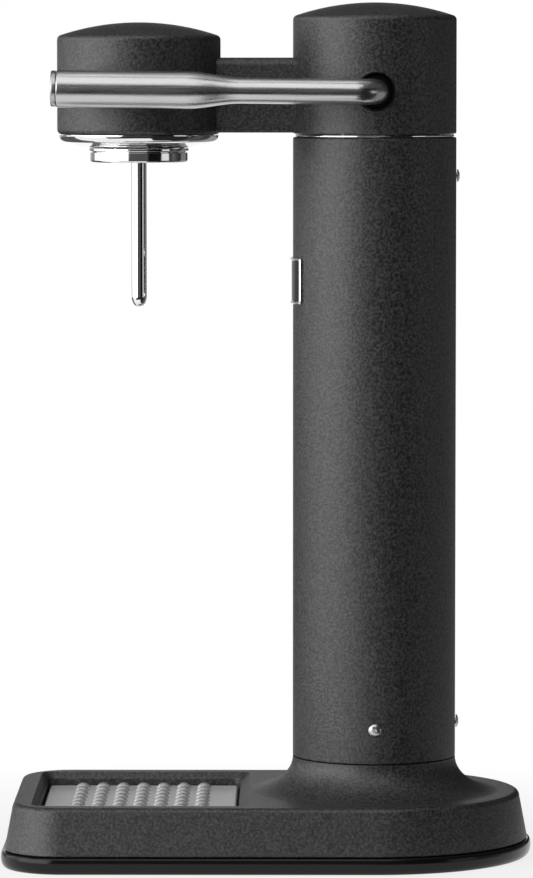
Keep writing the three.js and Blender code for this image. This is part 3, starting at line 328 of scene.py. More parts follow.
def height_in(finish):
    """The height of a point, in the object's own coordinates."""
    place, axes = nodes_in(finish.node_tree, "ShaderNodeTexCoord", "ShaderNodeSeparateXYZ")
    wired(finish.node_tree, (place, "Object", axes, "Vector"))
    return axes.outputs["Z"]


def spread(finish, value, entry, low, high, start=0.3, end=0.7):
    """Feeds an input of the shader by a value, from low where it starts to high where it ends."""
    tree, socket = finish.node_tree, shader_of(finish).inputs[entry]
    if socket.type == "RGBA":
        ramp = tree.nodes.new("ShaderNodeValToRGB")
        for stop, position, colour in zip(ramp.color_ramp.elements, (start, end), (low, high)):
            stop.position, stop.color = position, (*colour, 1)
        tree.links.new(value, ramp.inputs["Fac"])
        tree.links.new(ramp.outputs["Color"], socket)
        return
    span = tree.nodes.new("ShaderNodeMapRange")
    for label, number in (("From Min", start), ("From Max", end), ("To Min", low), ("To Max", high)):
        span.inputs[label].default_value = number
    tree.links.new(value, span.inputs["Value"])
    tree.links.new(span.outputs["Result"], socket)


def relief(finish, value, strength, height):
    """Raises the surface by a value, height in metres."""
    bump = finish.node_tree.nodes.new("ShaderNodeBump")
    bump.inputs["Strength"].default_value = strength
    bump.inputs["Distance"].default_value = height
    finish.node_tree.links.new(value, bump.inputs["Height"])
    finish.node_tree.links.new(bump.outputs["Normal"], shader_of(finish).inputs["Normal"])


def plain_finish(name, record_slot, colour, roughness, metallic, scale, low, high, stretch=(1, 1, 1)):
    """A finish that varies only in its roughness, from low to high."""
    finish = new_finish(name, record_slot, colour, roughness, metallic)
    spread(finish, grain(finish, scale, stretch=stretch), "Roughness", low, high)
    return finish


print("the helpers lay a grain, a height, a spread and a relief")

# %% Painted and moulded finishes
def powder_coat():
    finish = new_finish("powder_coat_black", "black_powder_coat", (0.024, 0.024, 0.024), 0.46)
    shader_of(finish).inputs["Specular IOR Level"].default_value = 0.8
    sand = grain(finish, 820, 4)
    dark, light = (0.002, 0.002, 0.002), (0.068, 0.068, 0.068)
    spread(finish, sand, "Base Color", dark, light, 0.38, 0.65)
    relief(finish, sand, 0.5, 0.0004)
    return finish


def grey_moulding():
    finish = new_finish("dark_grey_moulding", "grey_plastic", (0.05, 0.05, 0.055), 0.5)
    spark = grain(finish, 2200)
    spread(finish, spark, "Base Color", (0.04, 0.04, 0.043), (0.06, 0.06, 0.065))
    relief(finish, spark, 0.3, 0.0001)
    return finish


def cylinder_enamel():
    finish = new_finish("grey_cylinder_enamel", "grey_enamel", (0.42, 0.43, 0.45), 0.35)
    relief(finish, grain(finish, 180), 0.15, 0.0003)
    spread(finish, grain(finish, 25), "Roughness", 0.3, 0.42)
    return finish


coat, grey, enamel = powder_coat(), grey_moulding(), cylinder_enamel()
rubber = plain_finish("black_rubber_compound", "black_rubber", (0.02, 0.02, 0.02), 0.75, 0, 400, 0.65, 0.85)
gloss = plain_finish("gloss_black_moulding", "gloss_black", (0.008, 0.008, 0.009), 0.16, 0, 60, 0.12, 0.2)
shader_of(gloss).inputs["Specular IOR Level"].default_value = 0.3
print("painted and moulded:", coat.name, gloss.name, grey.name, rubber.name, enamel.name)

# %% [markdown]
# ## Metals
#
# The same steel looks different by its last treatment. Buffing makes it a mirror, a belt leaves it
# satin with fine lines along the bar, and a press leaves the sheet matte. Its domes are painted darker
# than the flat, as painted shade for the dark front that they reflect. A bare metal shows only its
# reflections, tinted by its own colour, so these finishes differ in how rough they are and in how
# much light they give back. The domes are found by their height.

# %% Metal finishes
dome_rise = 0.0024
tray_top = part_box("drip_plate")[1].z - dome_rise


def satin_steel():
    finish = new_finish("satin_lever_steel", "satin_steel", (0.59, 0.59, 0.6), 0.26, 1)
    lines = grain(finish, 1500, stretch=(0.02, 1, 1))
    spread(finish, lines, "Roughness", 0.2, 0.32)
    relief(finish, lines, 0.12, 0.00004)
    return finish


def pressed_steel(flat_height):
    finish = new_finish("satin_sheet_steel", "satin_steel", (0.95, 0.95, 0.95), 0.5, 0.5)
    # The domes' colour is painted shade: by height they are made darker than the flat, for the dark front
    # that they reflect.
    pale, dark = (0.97, 0.97, 0.97), (0.52, 0.52, 0.52)
    spread(finish, height_in(finish), "Base Color", pale, dark, flat_height + 0.0001, flat_height + 0.0008)
    lines = grain(finish, 1800, stretch=(1, 0.03, 1))
    spread(finish, lines, "Roughness", 0.45, 0.55)
    relief(finish, lines, 0.1, 0.00003)
    return finish


def zinc_plate():
    finish = new_finish("zinc_plated_steel", "zinc_plated_steel", (0.45, 0.46, 0.48), 0.4, 1)
    cloud = grain(finish, 220, 3)
    spread(finish, cloud, "Base Color", (0.38, 0.39, 0.41), (0.52, 0.53, 0.54))
    spread(finish, cloud, "Roughness", 0.34, 0.5)
    return finish


satin, sheet_steel, zinc = satin_steel(), pressed_steel(tray_top), zinc_plate()
polished = plain_finish("polished_steel", "polished_steel", (0.86, 0.86, 0.87), 0.05, 1, 90, 0.06, 0.12)
# The grip's cap is painted darker than the polished steel, as painted shade that dims its reflections, and it
# is also rougher.
cap_steel = plain_finish("cap_steel_painted_shade", "polished_steel", (0.5, 0.5, 0.51), 0.3, 1, 600, 0.26, 0.36)
# The hub is painted nearly black, as painted shade for the shadow inside the lever's hole.
hub_painted_shade_steel = plain_finish("hub_steel_painted_shade", "satin_steel", (0.05, 0.05, 0.05), 0.45, 1, 1500, 0.4, 0.55)
screw_steel = plain_finish("turned_screw_steel", "screw_steel", (0.62, 0.62, 0.63), 0.25, 1, 1500, 0.2, 0.34)
brass = plain_finish("machined_brass", "brass", (0.66, 0.45, 0.19), 0.3, 1, 1200, 0.22, 0.4, (1, 1, 8))
print("metals:", polished.name, satin.name, sheet_steel.name, hub_painted_shade_steel.name, brass.name)

# %% A finish for every slot
by_slot = {finish["record_slot"]: finish for finish in (
    coat, gloss, grey, rubber, enamel, polished, satin, screw_steel, zinc, brass)}
for part in frame["record"]["subparts"]:
    node = frame["nodes"][part["node"]]
    node.data.materials.clear()
    node.data.materials.append(by_slot[part["material_slot"]])
print("slots with a finish:", len(by_slot))

# %% [markdown]
# ## Base casting
#
# The base is a D in plan: half a disc behind the column, and a straight part with two round corners
# in front. Its walls lean in a little so that it would leave its mould, its top edge is round, and
# a flare carries the column. Every height of such a wall is the same outline, moved in by some
# amount, so one function draws the outline and the wall is lofted through it. The flare is turned,
# the two are joined, and the drip recess is cut with a tool that has the recess's own section.

# %% The D-shaped outline
foot_radius = size_of("foot_ring").y / 2
front_x, foot_height = ring_low.x, ring_high.z
corner_radius = 0.030
gap = 0.0003
lip, draft, top_edge = 0.0019, 0.0037, 0.0028
base_top = 0.0312
flare_top = column_low.z - gap


def outline(inset, height, round_steps=96, corner_steps=20):
    corner_x, corner_y = front_x + corner_radius, foot_radius - corner_radius
    points = [
        *arc(column_x, 0, foot_radius - inset, -90, 90, round_steps),
        *arc(corner_x, corner_y, corner_radius - inset, 90, 180, corner_steps),
        *arc(corner_x, -corner_y, corner_radius - inset, 180, 270, corner_steps),
    ]
    return [(x, y, height) for x, y in points]


def walled(levels, closed=False):
    """The wall lofted through the outline at each level; levels are (inset, height)."""
    return solid(lofted([outline(inset, height) for inset, height in levels], closed))


print("outline of the foot:", len(outline(0, 0)), "points")

# %% Recess and neck
recess_depth, recess_chamfer, rear_chamfer = 0.0112, 0.003, 0.0046
recess_front, recess_rear = column_x - 0.1616, column_x - 0.0654
recess_half, recess_corner = 0.058, 0.0035
cylinder_bore = 0.032


def recess_tool():
    """Opens towards its mouth, and further at the rear end than at the sides."""
    floor_fillet, wall_fillet, overrun, floor_reach = 0.001, 0.0012, 0.01, 0.002
    floor_height = base_top - recess_depth
    section = rounded([(-floor_reach, floor_height), (0, floor_height, floor_fillet),
                       (0, base_top - recess_chamfer, wall_fillet), (recess_chamfer, base_top),
                       (recess_chamfer, base_top + overrun)], closed=False)
    return solid(lofted([
        rectangle(recess_front - wider, recess_rear + wider * rear_chamfer / recess_chamfer,
                  recess_half + wider, recess_corner + wider, height, 8)
        for wider, height in section]))


def flared_neck():
    """The flare that carries the column, and the spigot that the column stands over."""
    flare_radius, sink = 0.064, 0.00015
    flare = arc(flare_radius, flare_top, flare_radius - column_radius, 270, 180, 24,
                rise=flare_top - base_top + sink)
    spigot, spigot_top, root = column_radius - 0.0033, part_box("base_shell")[1].z, base_top - 0.004
    return solid(turned([(0, root), (flare_radius, root), *flare, (spigot, flare_top), (spigot, spigot_top),
                         (0, spigot_top)], column_x, closed=False, sides=160))


print("recess", round(recess_rear - recess_front, 4), "m long and", 2 * recess_half, "m wide")

# %% Base casting
def at_mouth(p):
    """Whether a point lies on the recess's edge in the base's top."""
    beside, behind, level = 0.004, 0.006, 2e-5
    return (recess_front - beside < p.x < recess_rear + behind and abs(p.y) < recess_half + beside
            and abs(p.z - base_top) < level)


def base_casting():
    wall_foot, chamfer = foot_height + gap, 0.0006
    wall = [(lip + chamfer, wall_foot), (lip, wall_foot + chamfer)]
    wall += arc(lip + draft + top_edge, base_top - top_edge, top_edge, 180, 90, 10)
    body = walled(wall)
    joined(body, flared_neck())
    cut(body, recess_tool())
    below, above = -0.01, 0.1
    cut(body, solid(turned([(0, below), (cylinder_bore, below), (cylinder_bore, above), (0, above)],
                           column_x, closed=False, sides=96)))
    return eased(body, at_mouth, width=0.0009)


finished(base_casting(), "base_casting", coat, "machine", "base_shell")

# %% [markdown]
# ## Foot ring and underside
#
# The black ring under the base bulges out and rolls under, so that the base seems to float on it.
# Its section is a quarter ellipse below its widest height, and a fuller curve above it. The plate
# that closes the underside leaves a round opening, through which the gas cylinder is screwed in.

# %% Foot ring
def ring_section():
    waist, roll, fullness = 0.6 * foot_height, 1.5 * lip, 0.5
    lower = arc(roll, waist, roll, 270, 195, 5, rise=waist)
    upper = [(lip * (1 - abs(cos(a)) ** fullness), waist + (foot_height - waist) * sin(a))
             for a in (radians(9 * i) for i in range(11))]
    width, ledge, ledge_foot = 0.007, 0.01, foot_height - 0.003
    return [*lower, *upper, (ledge, foot_height), (ledge, ledge_foot), (width, ledge_foot), (width, 0)]


finished(walled(ring_section(), closed=True), "foot_moulding", gloss, "machine", "foot_ring")

# %% Underside plate
under_low, under_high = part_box("bottom_plate")
bottom_screws = [f"bottom_screw_{i}" for i in (1, 2, 3, 4)]
screw_hole = 0.0018


def underside_plate():
    inset, ease = 0.0073, 0.0003
    body = walled([(inset + ease, under_low.z), (inset, under_low.z + ease),
                   (inset, under_high.z - ease), (inset + ease, under_high.z)])
    cut(body, round_tool((column_x, 0, under_low.z), upright, cylinder_bore, length=0.02, sides=96))
    for name in bottom_screws:
        cut(body, round_tool(middle_of(name), upright, screw_hole, length=0.03))
    return body


finished(underside_plate(), "underside_plate", grey, "machine", "bottom_plate")

# %% [markdown]
# ## Column
#
# A plain extruded tube in the same powder coat. What makes it read as metal is its two ends: a thin
# round edge at the top, beside the polished seam, and one at the foot, where a dark line shows that
# tube and casting are two pieces.

# %% Column tube
column_screws = {"side_screw_near": (0, -1, 0), "side_screw_far": (0, 1, 0),
                 "rear_screw_lower": (1, 0, 0), "rear_screw_upper": (1, 0, 0)}


def column():
    body = lathed(band(column_radius - 0.003, column_radius, column_low.z, column_high.z,
                       inner_edge=0.0003, outer_edge=0.0007), column_x, sides=160)
    for name, facing in column_screws.items():
        cut(body, round_tool(middle_of(name), facing, screw_hole, length=0.015))
    return body


finished(column(), "column_body", coat, "machine", "column_tube")

# %% [markdown]
# ## Head
#
# The head is one casting: a round drum over the column, a second one over the bottle, and a bar
# between them. Both drums have a low dome that meets the side in a small round edge. The height of
# that dome and its radius give the ball it is cut from, and the round edge is the ball that touches
# both the dome and the wall. The casting is hollow, with a hole in its side for the lever.

# %% Drums and bridge
dome_height, dome_edge, head_wall, ceiling = 0.0067, 0.0025, 0.003, 0.0044
drum_low, drum_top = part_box("drum_plate")[1].z - 0.0051, 0.4039
drum_foot = drum_low - 0.001
bridge_half, bridge_top, bridge_wall = 0.0124, drum_top - 0.017, 0.0036
lever_hole = 0.0094


def domed(bottom, peak, axis_x, foot_edge):
    ball = (column_radius ** 2 + dome_height ** 2) / (2 * dome_height)
    centre = peak - ball
    reach = column_radius - dome_edge
    edge_z = centre + sqrt((ball - dome_edge) ** 2 - reach ** 2)
    lean = degrees(atan2(edge_z - centre, reach))
    profile = [(0, bottom), *arc(column_radius - foot_edge, bottom + foot_edge, foot_edge, -90, 0, 6)]
    profile += arc(reach, edge_z, dome_edge, 0, lean, 8) + arc(0, centre, ball, lean, 90, 20)[1:-1]
    return solid(turned([*profile, (0, peak)], axis_x, closed=False, sides=160))


def hollow(bottom, peak, axis_x):
    """The room inside a drum: open below, and with a chamfer under its low ceiling."""
    inner, top, side = column_radius - head_wall, peak - ceiling, peak - dome_height - ceiling
    mouth, slant_low, slant_high, slant = bottom - 0.01, side - 0.002, side - 0.0002, 0.001
    profile = [(0, mouth), (inner, mouth), (inner, slant_low), (inner - slant, slant_high)]
    profile += [(inner / 2, (side + 3 * top) / 4), (0, top)]
    return solid(turned(profile, axis_x, closed=False, sides=96))


def bridge(half, low, high, edge, under_edge):
    corners = [(half, low, under_edge), (half, high, edge), (-half, high, edge), (-half, low, under_edge)]
    section = rounded(corners, steps=8)
    return solid(lofted([[(x, y, z) for y, z in section] for x in (drum_x, column_x)]))


print("front drum from", round(drum_foot, 4), "to", drum_top, "and bridge up to", round(bridge_top, 4))

# %% Head casting
def at_hole(p):
    """Whether a point lies on the edge of the lever's hole, in the drum's side."""
    off_hole = hypot(p.x - column_x, p.z - pivot.z) - lever_hole
    off_side = hypot(p.x - column_x, p.y) - column_radius
    return max(abs(off_hole), abs(off_side)) < 2e-4


def head_casting():
    body = domed(head_low.z, head_high.z, column_x, foot_edge=0.0008)
    joined(body, domed(drum_foot, drum_top, drum_x, foot_edge=0.0024))
    joined(body, bridge(bridge_half, drum_low, bridge_top, edge=0.004, under_edge=0.0008))
    cut(body, hollow(head_low.z, head_high.z, column_x))
    cut(body, hollow(drum_foot, drum_top, drum_x))
    cut(body, bridge(bridge_half - head_wall, drum_low + bridge_wall, bridge_top - bridge_wall,
                     edge=0.002, under_edge=0.0005))
    cut(body, round_tool((column_x, -column_radius, pivot.z), (0, 1, 0), lever_hole, length=0.04, sides=72))
    return eased(body, at_hole, width=0.0006)


finished(head_casting(), "head_casting", coat, "machine", "head_housing")

# %% Polished seam ring
seam_low, seam_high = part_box("trim_ring")
seam_radius = size_of("trim_ring").x / 2 - 0.0003
seam = lathed(band(seam_radius - 0.005, seam_radius, seam_low.z, seam_high.z,
                   inner_edge=0, outer_edge=0.0004), column_x, sides=160)
finished(seam, "seam_ring", polished, "machine", "trim_ring")

# %% [markdown]
# ## Dish, collar and nozzle
#
# Under the front drum sits a polished dish with a rounded bead at its rim. The collar that takes
# the bottle hangs from it, a ring with a lip and a groove, and the nozzle comes down through both.
# All are turned, so their outlines carry the whole shape. The real ones are mirror bright, and a
# mirror shows every flat, which is why these outlines get more steps than the painted ones.

# %% Dish
dish_low, dish_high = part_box("drum_plate")
collar_low, collar_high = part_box("bottle_collar")
collar_radius = size_of("bottle_collar").x / 2
collar_bore = 0.017
bead_top = drum_foot - gap


def dish():
    bead_radius, dish_radius, dish_edge = size_of("drum_plate").x / 2, 0.0356, dish_low.z + 0.0026
    bead = arc(dish_radius, bead_top, bead_radius - dish_radius, -90, 0, 15, rise=bead_top - dish_edge)
    ring_outer = column_radius - head_wall - gap
    ring_inner = ring_outer - 0.0025
    back, back_radius = dish_low.z + 0.003, 0.0263
    return solid(turned([(collar_bore, dish_low.z), (collar_radius, dish_low.z), *bead,
                         (ring_outer, bead_top), (ring_outer, dish_high.z), (ring_inner, dish_high.z),
                         (ring_inner, bead_top), (back_radius, back), (collar_bore, back)],
                        drum_x, sides=192))


finished(dish(), "polished_dish", polished, "machine", "drum_plate")

# %% Collar
collar_screws = [f"collar_screw_{i}" for i in (1, 2, 3)]


def slice_of_ring(inner, outer, low, high, facing, half_angle, axis_x, steps=12, ease=0.0003):
    """A piece of a ring, lofted along its own arc."""
    section = rounded(band(inner, outer, low, high, ease, ease))
    loops = []
    for i in range(steps + 1):
        a = radians(facing - half_angle + 2 * half_angle * i / steps)
        loops.append([(axis_x + r * cos(a), r * sin(a), z) for r, z in section])
    return solid(lofted(loops))


def collar_ring():
    """Chamfered foot, groove and lip."""
    lip_height, groove, groove_depth, chamfer, fine = 0.0014, 0.0007, 0.0009, 0.0011, 0.0002
    body_radius = collar_radius - 0.00047
    waist_radius = body_radius - groove_depth
    lip_foot = collar_high.z - lip_height
    waist = lip_foot - groove
    low, high = collar_low.z, collar_high.z
    return lathed([(collar_bore, low, 0.0006), (body_radius, low, chamfer), (body_radius, waist, fine),
                   (waist_radius, waist, fine), (waist_radius, lip_foot, fine),
                   (collar_radius, lip_foot, 0.0004), (collar_radius, high, 0.0004),
                   (collar_bore, high, 0.0003)], drum_x, sides=192)


def collar():
    """The ring with three lugs inside it, and a hole and a seat for each screw."""
    body, low = collar_ring(), collar_low.z
    lug_depth, lug_height, lug_half_angle = 0.002, 0.0018, 16
    for facing in (60, 180, 300):
        joined(body, slice_of_ring(collar_bore - lug_depth, collar_bore + lug_depth / 2, low + gap,
                                   low + gap + lug_height, facing, lug_half_angle, drum_x))
    for name in collar_screws:
        cut(body, round_tool(middle_of(name), upright, radius=0.0015, length=0.02))
        cut(body, round_tool((*middle_of(name).xy, low), upright, radius=0.0026, length=0.003))
    return body


finished(collar(), "bottle_ring", polished, "machine", "bottle_collar")

# %% Nozzle, its block and the gasket
nozzle_low, nozzle_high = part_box("nozzle_tube")
nozzle_radius = size_of("nozzle_tube").x / 2
block_low, block_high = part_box("nozzle_block")
gasket_low, gasket_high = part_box("bottle_gasket")


def nozzle():
    tip, tip_length, bore, edge = nozzle_low.z - 0.00017, 0.005, 0.0012, 0.0004
    nose = arc(0, tip + tip_length, nozzle_radius, -70, 0, 10, rise=tip_length)
    return solid(turned([(bore, nose[0][1]), *nose, (nozzle_radius, nozzle_high.z - edge),
                         (nozzle_radius - edge, nozzle_high.z), (bore, nozzle_high.z)], drum_x, sides=96))


def neck_block():
    flange, wall, boss, port = size_of("nozzle_block").x / 2, 0.0205, 0.008, 0.0025
    flange_top, shoulder, roof = block_low.z + 0.0025, block_high.z - 0.012, gasket_high.z + gap
    seat_radius, seat_top = nozzle_radius + gap, nozzle_high.z + gap
    return lathed([(collar_bore, block_low.z, 0.0003), (flange, block_low.z, 0.0005),
                   (flange, flange_top, 0.0005), (wall, flange_top, 0.001), (wall, shoulder, 0.0015),
                   (boss, shoulder, 0.001), (boss, block_high.z, 0.0006), (port, block_high.z),
                   (port, seat_top), (seat_radius, seat_top), (seat_radius, roof, 0.0003),
                   (collar_bore, roof, 0.0012)], drum_x, sides=96)


def gasket():
    inner, outer = nozzle_radius + gap, size_of("bottle_gasket").x / 2
    return lathed(band(inner, outer, gasket_low.z, gasket_high.z, inner_edge=0.0004, outer_edge=0.0007),
                  drum_x)


finished(nozzle(), "nozzle_pipe", polished, "machine", "nozzle_tube")
finished(neck_block(), "neck_block", grey, "machine", "nozzle_block")
finished(gasket(), "neck_gasket", rubber, "machine", "bottle_gasket")

# %% [markdown]
# ## Badge
#
# A thin polished frame holds a glossy black plate, and both are bent round the column. The frame is
# drawn flat as a rounded rectangle and as a smaller one inside it, and each of its points is then
# wrapped: its distance along the drawing becomes an angle round the column. The plate is left bare.

# %% Badge frame and plate
badge_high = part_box("badge_frame")[1]
badge_back = column_radius + gap
badge_front = column_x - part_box("badge_frame")[0].x
badge_half_along = asin(badge_high.y / badge_front) * column_radius
badge_half_up = size_of("badge_frame").z / 2
badge_bar, badge_corner, badge_bends = 0.0014, 0.0012, 20


def frame_outline():
    """A flat rounded rectangle, its long sides cut into short steps so that they can bend."""
    along, up, r = badge_half_along, badge_half_up, badge_corner
    points = rounded([(along, up, r), (-along, up, r), (-along, -up, r), (along, -up, r)], steps=6)
    step = (along - r) / badge_bends
    even = []
    for here, ahead in zip(points, points[1:] + points[:1]):
        parts = max(1, round((ahead - here).length / step))
        parts = parts if parts > 2 else 1
        even += [here.lerp(ahead, i / parts) for i in range(parts)]
    return even


def badge_frame():
    ease, middle = 0.0003, middle_of("badge_frame").z
    rings = [(0, badge_back), (0, badge_front - ease), (ease, badge_front), (badge_bar - ease, badge_front),
             (badge_bar, badge_front - ease), (badge_bar, badge_back)]
    loops = []
    for inset, depth in rings:
        narrow, short = 1 - inset / badge_half_along, 1 - inset / badge_half_up
        wrapped = [(along / column_radius * narrow, up * short) for along, up in frame_outline()]
        loops.append([(column_x - depth * cos(a), -depth * sin(a), middle + up) for a, up in wrapped])
    return solid(lofted(loops, closed=True))


def badge_face():
    low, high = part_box("badge_plate")
    face_radius = column_x - low.x
    half_angle = degrees(asin(high.y / face_radius))
    return slice_of_ring(badge_back, face_radius, low.z, high.z, 180, half_angle, column_x,
                         steps=40, ease=0.0001)


finished(badge_frame(), "badge_surround", polished, "machine", "badge_frame")
finished(badge_face(), "badge_face", gloss, "machine", "badge_plate")

# %% [markdown]
# ## Lever
#
# One bent steel bar is the lever: it leaves the head through the hole, turns forward round the
# elbow and swells into the grip, like a drawn rod that was upset at its end. A curve with a bevel
# could make it, but the ring spacing would be Blender's choice. Here the rings are laid one by one
# along the path, each square to it, and the swelling follows half a cosine wave. A cap closes the
# grip's open end, and a collar fills the hole behind the elbow; the collar is painted nearly black,
# as painted shade for the shadow inside the hole. Both are turned.

# %% Lever arm
lever_tilt = radians(0.6)
rod_radius, grip_radius, grip_front_radius, end_ease = 0.0062, 0.0091, 0.009, 0.0004
middle_rise = 0.00002
lever_y = -(column_radius + 0.011)
elbow = 0.01
grip_front, grip_rear, taper_end, taper_steps = -0.1516, -0.091, -0.064, 32
to_lever = Matrix.Translation((pivot.x, 0, pivot.z)) @ Matrix.Rotation(lever_tilt, 4, "Y")


def swept(path, radii, sides=64):
    """Rings square to a path that lies in the plane of the lever."""
    loops = []
    for i, here in enumerate(path):
        ahead = (Vector(path[min(i + 1, len(path) - 1)]) - Vector(path[max(i - 1, 0)])).normalized()
        side = Vector((-ahead.y, ahead.x, 0))
        loops.append([Vector(here) + radii[i] * (side * cos(a) + Vector((0, 0, sin(a))))
                      for a in (2 * pi * k / sides for k in range(sides))])
    return lofted(loops)


def lever_arm():
    path = [(0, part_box("lever_arm")[1].y, 0)]
    path += [(x, y, 0) for x, y in arc(-elbow, lever_y + elbow, elbow, 0, -90, 20)]
    radii = [rod_radius] * len(path)
    for share in (i / taper_steps for i in range(taper_steps + 1)):
        path.append((taper_end + (grip_rear - taper_end) * share, lever_y, 0))
        radii.append(rod_radius + (grip_radius - rod_radius) * (1 - cos(pi * share)) / 2)
    for share in (0.25, 0.5, 0.75, 0.99, 1):
        path.append((grip_rear + (grip_front - grip_rear) * share, lever_y, 0))
        radii.append(grip_radius + (grip_front_radius - grip_radius) * share)
    radii[-1] -= end_ease
    shape = swept(path, radii)
    shape.transform(to_lever)
    return solid(shape)


finished(lever_arm(), "lever_bar", satin, "lever", "lever_arm")

# %% End cap and collar
def lever_cap():
    radius, length, foot_edge, front_edge = grip_front_radius - end_ease, 0.0027, 0.0003, 0.0008
    plug, plug_foot = 0.0057, -0.006
    profile = [(0, plug_foot), (plug, plug_foot), (plug, gap)]
    profile += arc(radius - foot_edge, gap + foot_edge, foot_edge, -90, 0, 3)
    profile += arc(radius - front_edge, length - front_edge, front_edge, 0, 90, 6)
    shape = turned([*profile, (0, length + middle_rise)], closed=False, sides=96)
    to_grip = Matrix.Translation((grip_front, lever_y, 0)) @ Matrix.Rotation(-pi / 2, 4, "Y")
    shape.transform(to_lever @ to_grip)
    return solid(shape)


def lever_collar():
    low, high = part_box("lever_hub")
    inner, outer, length = rod_radius + gap, (high.z - low.z) / 2, high.y - low.y
    shape = turned(rounded(band(inner, outer, 0, length, inner_edge=0.0002, outer_edge=0.0006)), sides=64)
    shape.transform(Matrix.Translation((pivot.x, high.y, pivot.z)) @ Matrix.Rotation(lever_tilt, 4, "Y")
                    @ Matrix.Rotation(pi / 2, 4, "X"))
    return solid(shape)


finished(lever_cap(), "lever_cap", cap_steel, "lever", "lever_end_cap")
finished(lever_collar(), "lever_collar", hub_painted_shade_steel, "lever", "lever_hub")

# %% [markdown]
# ## Spring of the push pin
#
# Inside the head a small spring lifts the pin again after the lever has pushed it down. It is a
# wire along a helix: rings of points are set along it, across its run, and joined in turn. A real
# spring closes up as its pin goes down; here the piece is only given a mesh of its own.

# %% Push pin spring
spring_low, spring_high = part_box("pin_spring")


def spring_wire(wire=0.00035, turns=3, steps=24, sides=10):
    middle = middle_of("pin_spring")
    radius, rise = size_of("pin_spring").x / 2 - wire, spring_high.z - spring_low.z - 2 * wire
    loops = []
    for i in range(turns * steps + 1):
        turn = 2 * pi * i / steps
        out = Vector((cos(turn), sin(turn), 0))
        here = Vector((middle.x, middle.y, spring_low.z + wire + rise * i / (turns * steps))) + radius * out
        loops.append([here + wire * (Vector((0, 0, sin(a))) - out * cos(a))
                      for a in (2 * pi * k / sides for k in range(sides))])
    return solid(lofted(loops))


spring = finished(spring_wire(), "push_pin_spring", screw_steel, "machine", "pin_spring")
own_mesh(spring)

# %% [markdown]
# ## Gas cylinder
#
# The cylinder hangs inside the column and shows only its foot, through the opening underneath,
# until it is drawn out. It is a drawn steel bottle: a pushed-in foot, a round heel, a long straight
# wall and a round shoulder under the brass valve.

# %% Cylinder and valve
gas_low, gas_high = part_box("gas_cylinder")
valve_low, valve_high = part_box("cylinder_valve")
gas_radius = size_of("gas_cylinder").y / 2
gas_x = middle_of("gas_cylinder").x


def gas_bottle():
    heel, neck_radius, shoulder, neck_foot = 0.007, 0.013, gas_high.z - 0.0444, gas_high.z - 0.008
    neck_edge, mouth, mouth_depth, dent, dent_side = 0.0005, 0.008, 0.01, 0.0035, 0.0028
    profile = [(0, gas_low.z + dent), (gas_radius / 2, gas_low.z + dent_side)]
    profile += arc(gas_radius - heel, gas_low.z + heel, heel, -90, 0, 8)
    profile += arc(neck_radius, shoulder, gas_radius - neck_radius, 0, 90, 15, rise=neck_foot - shoulder)
    profile += [(neck_radius, gas_high.z - neck_edge), (neck_radius - neck_edge, gas_high.z),
                (mouth, gas_high.z), (mouth, gas_high.z - mouth_depth), (0, gas_high.z - mouth_depth)]
    return solid(turned(profile, gas_x, closed=False))


def valve():
    plug, flange, thread, port, port_depth = 0.0077, 0.0125, 0.0105, 0.0025, 0.01
    foot, top = gas_high.z + gap, gas_high.z + gap + 0.007
    return lathed([(0, valve_low.z), (plug, valve_low.z, 0.0005), (plug, foot), (flange, foot, 0.0005),
                   (flange, top, 0.0008), (thread, top), (thread, valve_high.z, 0.0008),
                   (port, valve_high.z, 0.0003), (port, valve_high.z - port_depth),
                   (0, valve_high.z - port_depth)], gas_x, sides=96, closed=False)


finished(gas_bottle(), "gas_bottle", enamel, "gas_cylinder", "gas_cylinder")
finished(valve(), "gas_valve", brass, "gas_cylinder", "cylinder_valve")

# %% [markdown]
# ## Drip plate
#
# The plate is pressed from one sheet: a flat top with a turned down rim, and rows of small domes
# that keep the bottle clear of spilt water. One dome is modelled, and Geometry Nodes set it on
# every point of a grid. The tree takes the counts and the spacing as named inputs, so that the
# pattern can be changed without touching the dome.

# %% Trees that copy
def new_tree(name, inputs):
    tree = bpy.data.node_groups.new(name, "GeometryNodeTree")
    tree.interface.new_socket("Geometry", in_out="INPUT", socket_type="NodeSocketGeometry")
    for label, kind in inputs.items():
        tree.interface.new_socket(label, in_out="INPUT", socket_type=f"NodeSocket{kind}")
    tree.interface.new_socket("Geometry", in_out="OUTPUT", socket_type="NodeSocketGeometry")
    return tree, *nodes_in(tree, "NodeGroupInput", "NodeGroupOutput")


def closing(tree, result, output, given, end):
    """Every tree ends by making its copies real and giving them their material."""
    real, paint = nodes_in(tree, "GeometryNodeRealizeInstances", "GeometryNodeSetMaterial")
    wired(tree, (result, output, real, "Geometry"), (real, "Geometry", paint, "Geometry"),
          (given, "Material", paint, "Material"), (paint, "Geometry", end, "Geometry"))
    return tree


def filled(body, tree, label, copied, values):
    """Runs a tree. Its inputs are set by identifier, before the object is first evaluated."""
    run = body.modifiers.new("copies", "NODES")
    run.node_group = tree
    sockets = {item.name: item.identifier for item in tree.interface.items_tree if item.in_out == "INPUT"}
    for name, value in {label: copied, **values}.items():
        run[sockets[name]] = value
    settled(body)
    bpy.data.objects.remove(copied)
    return body


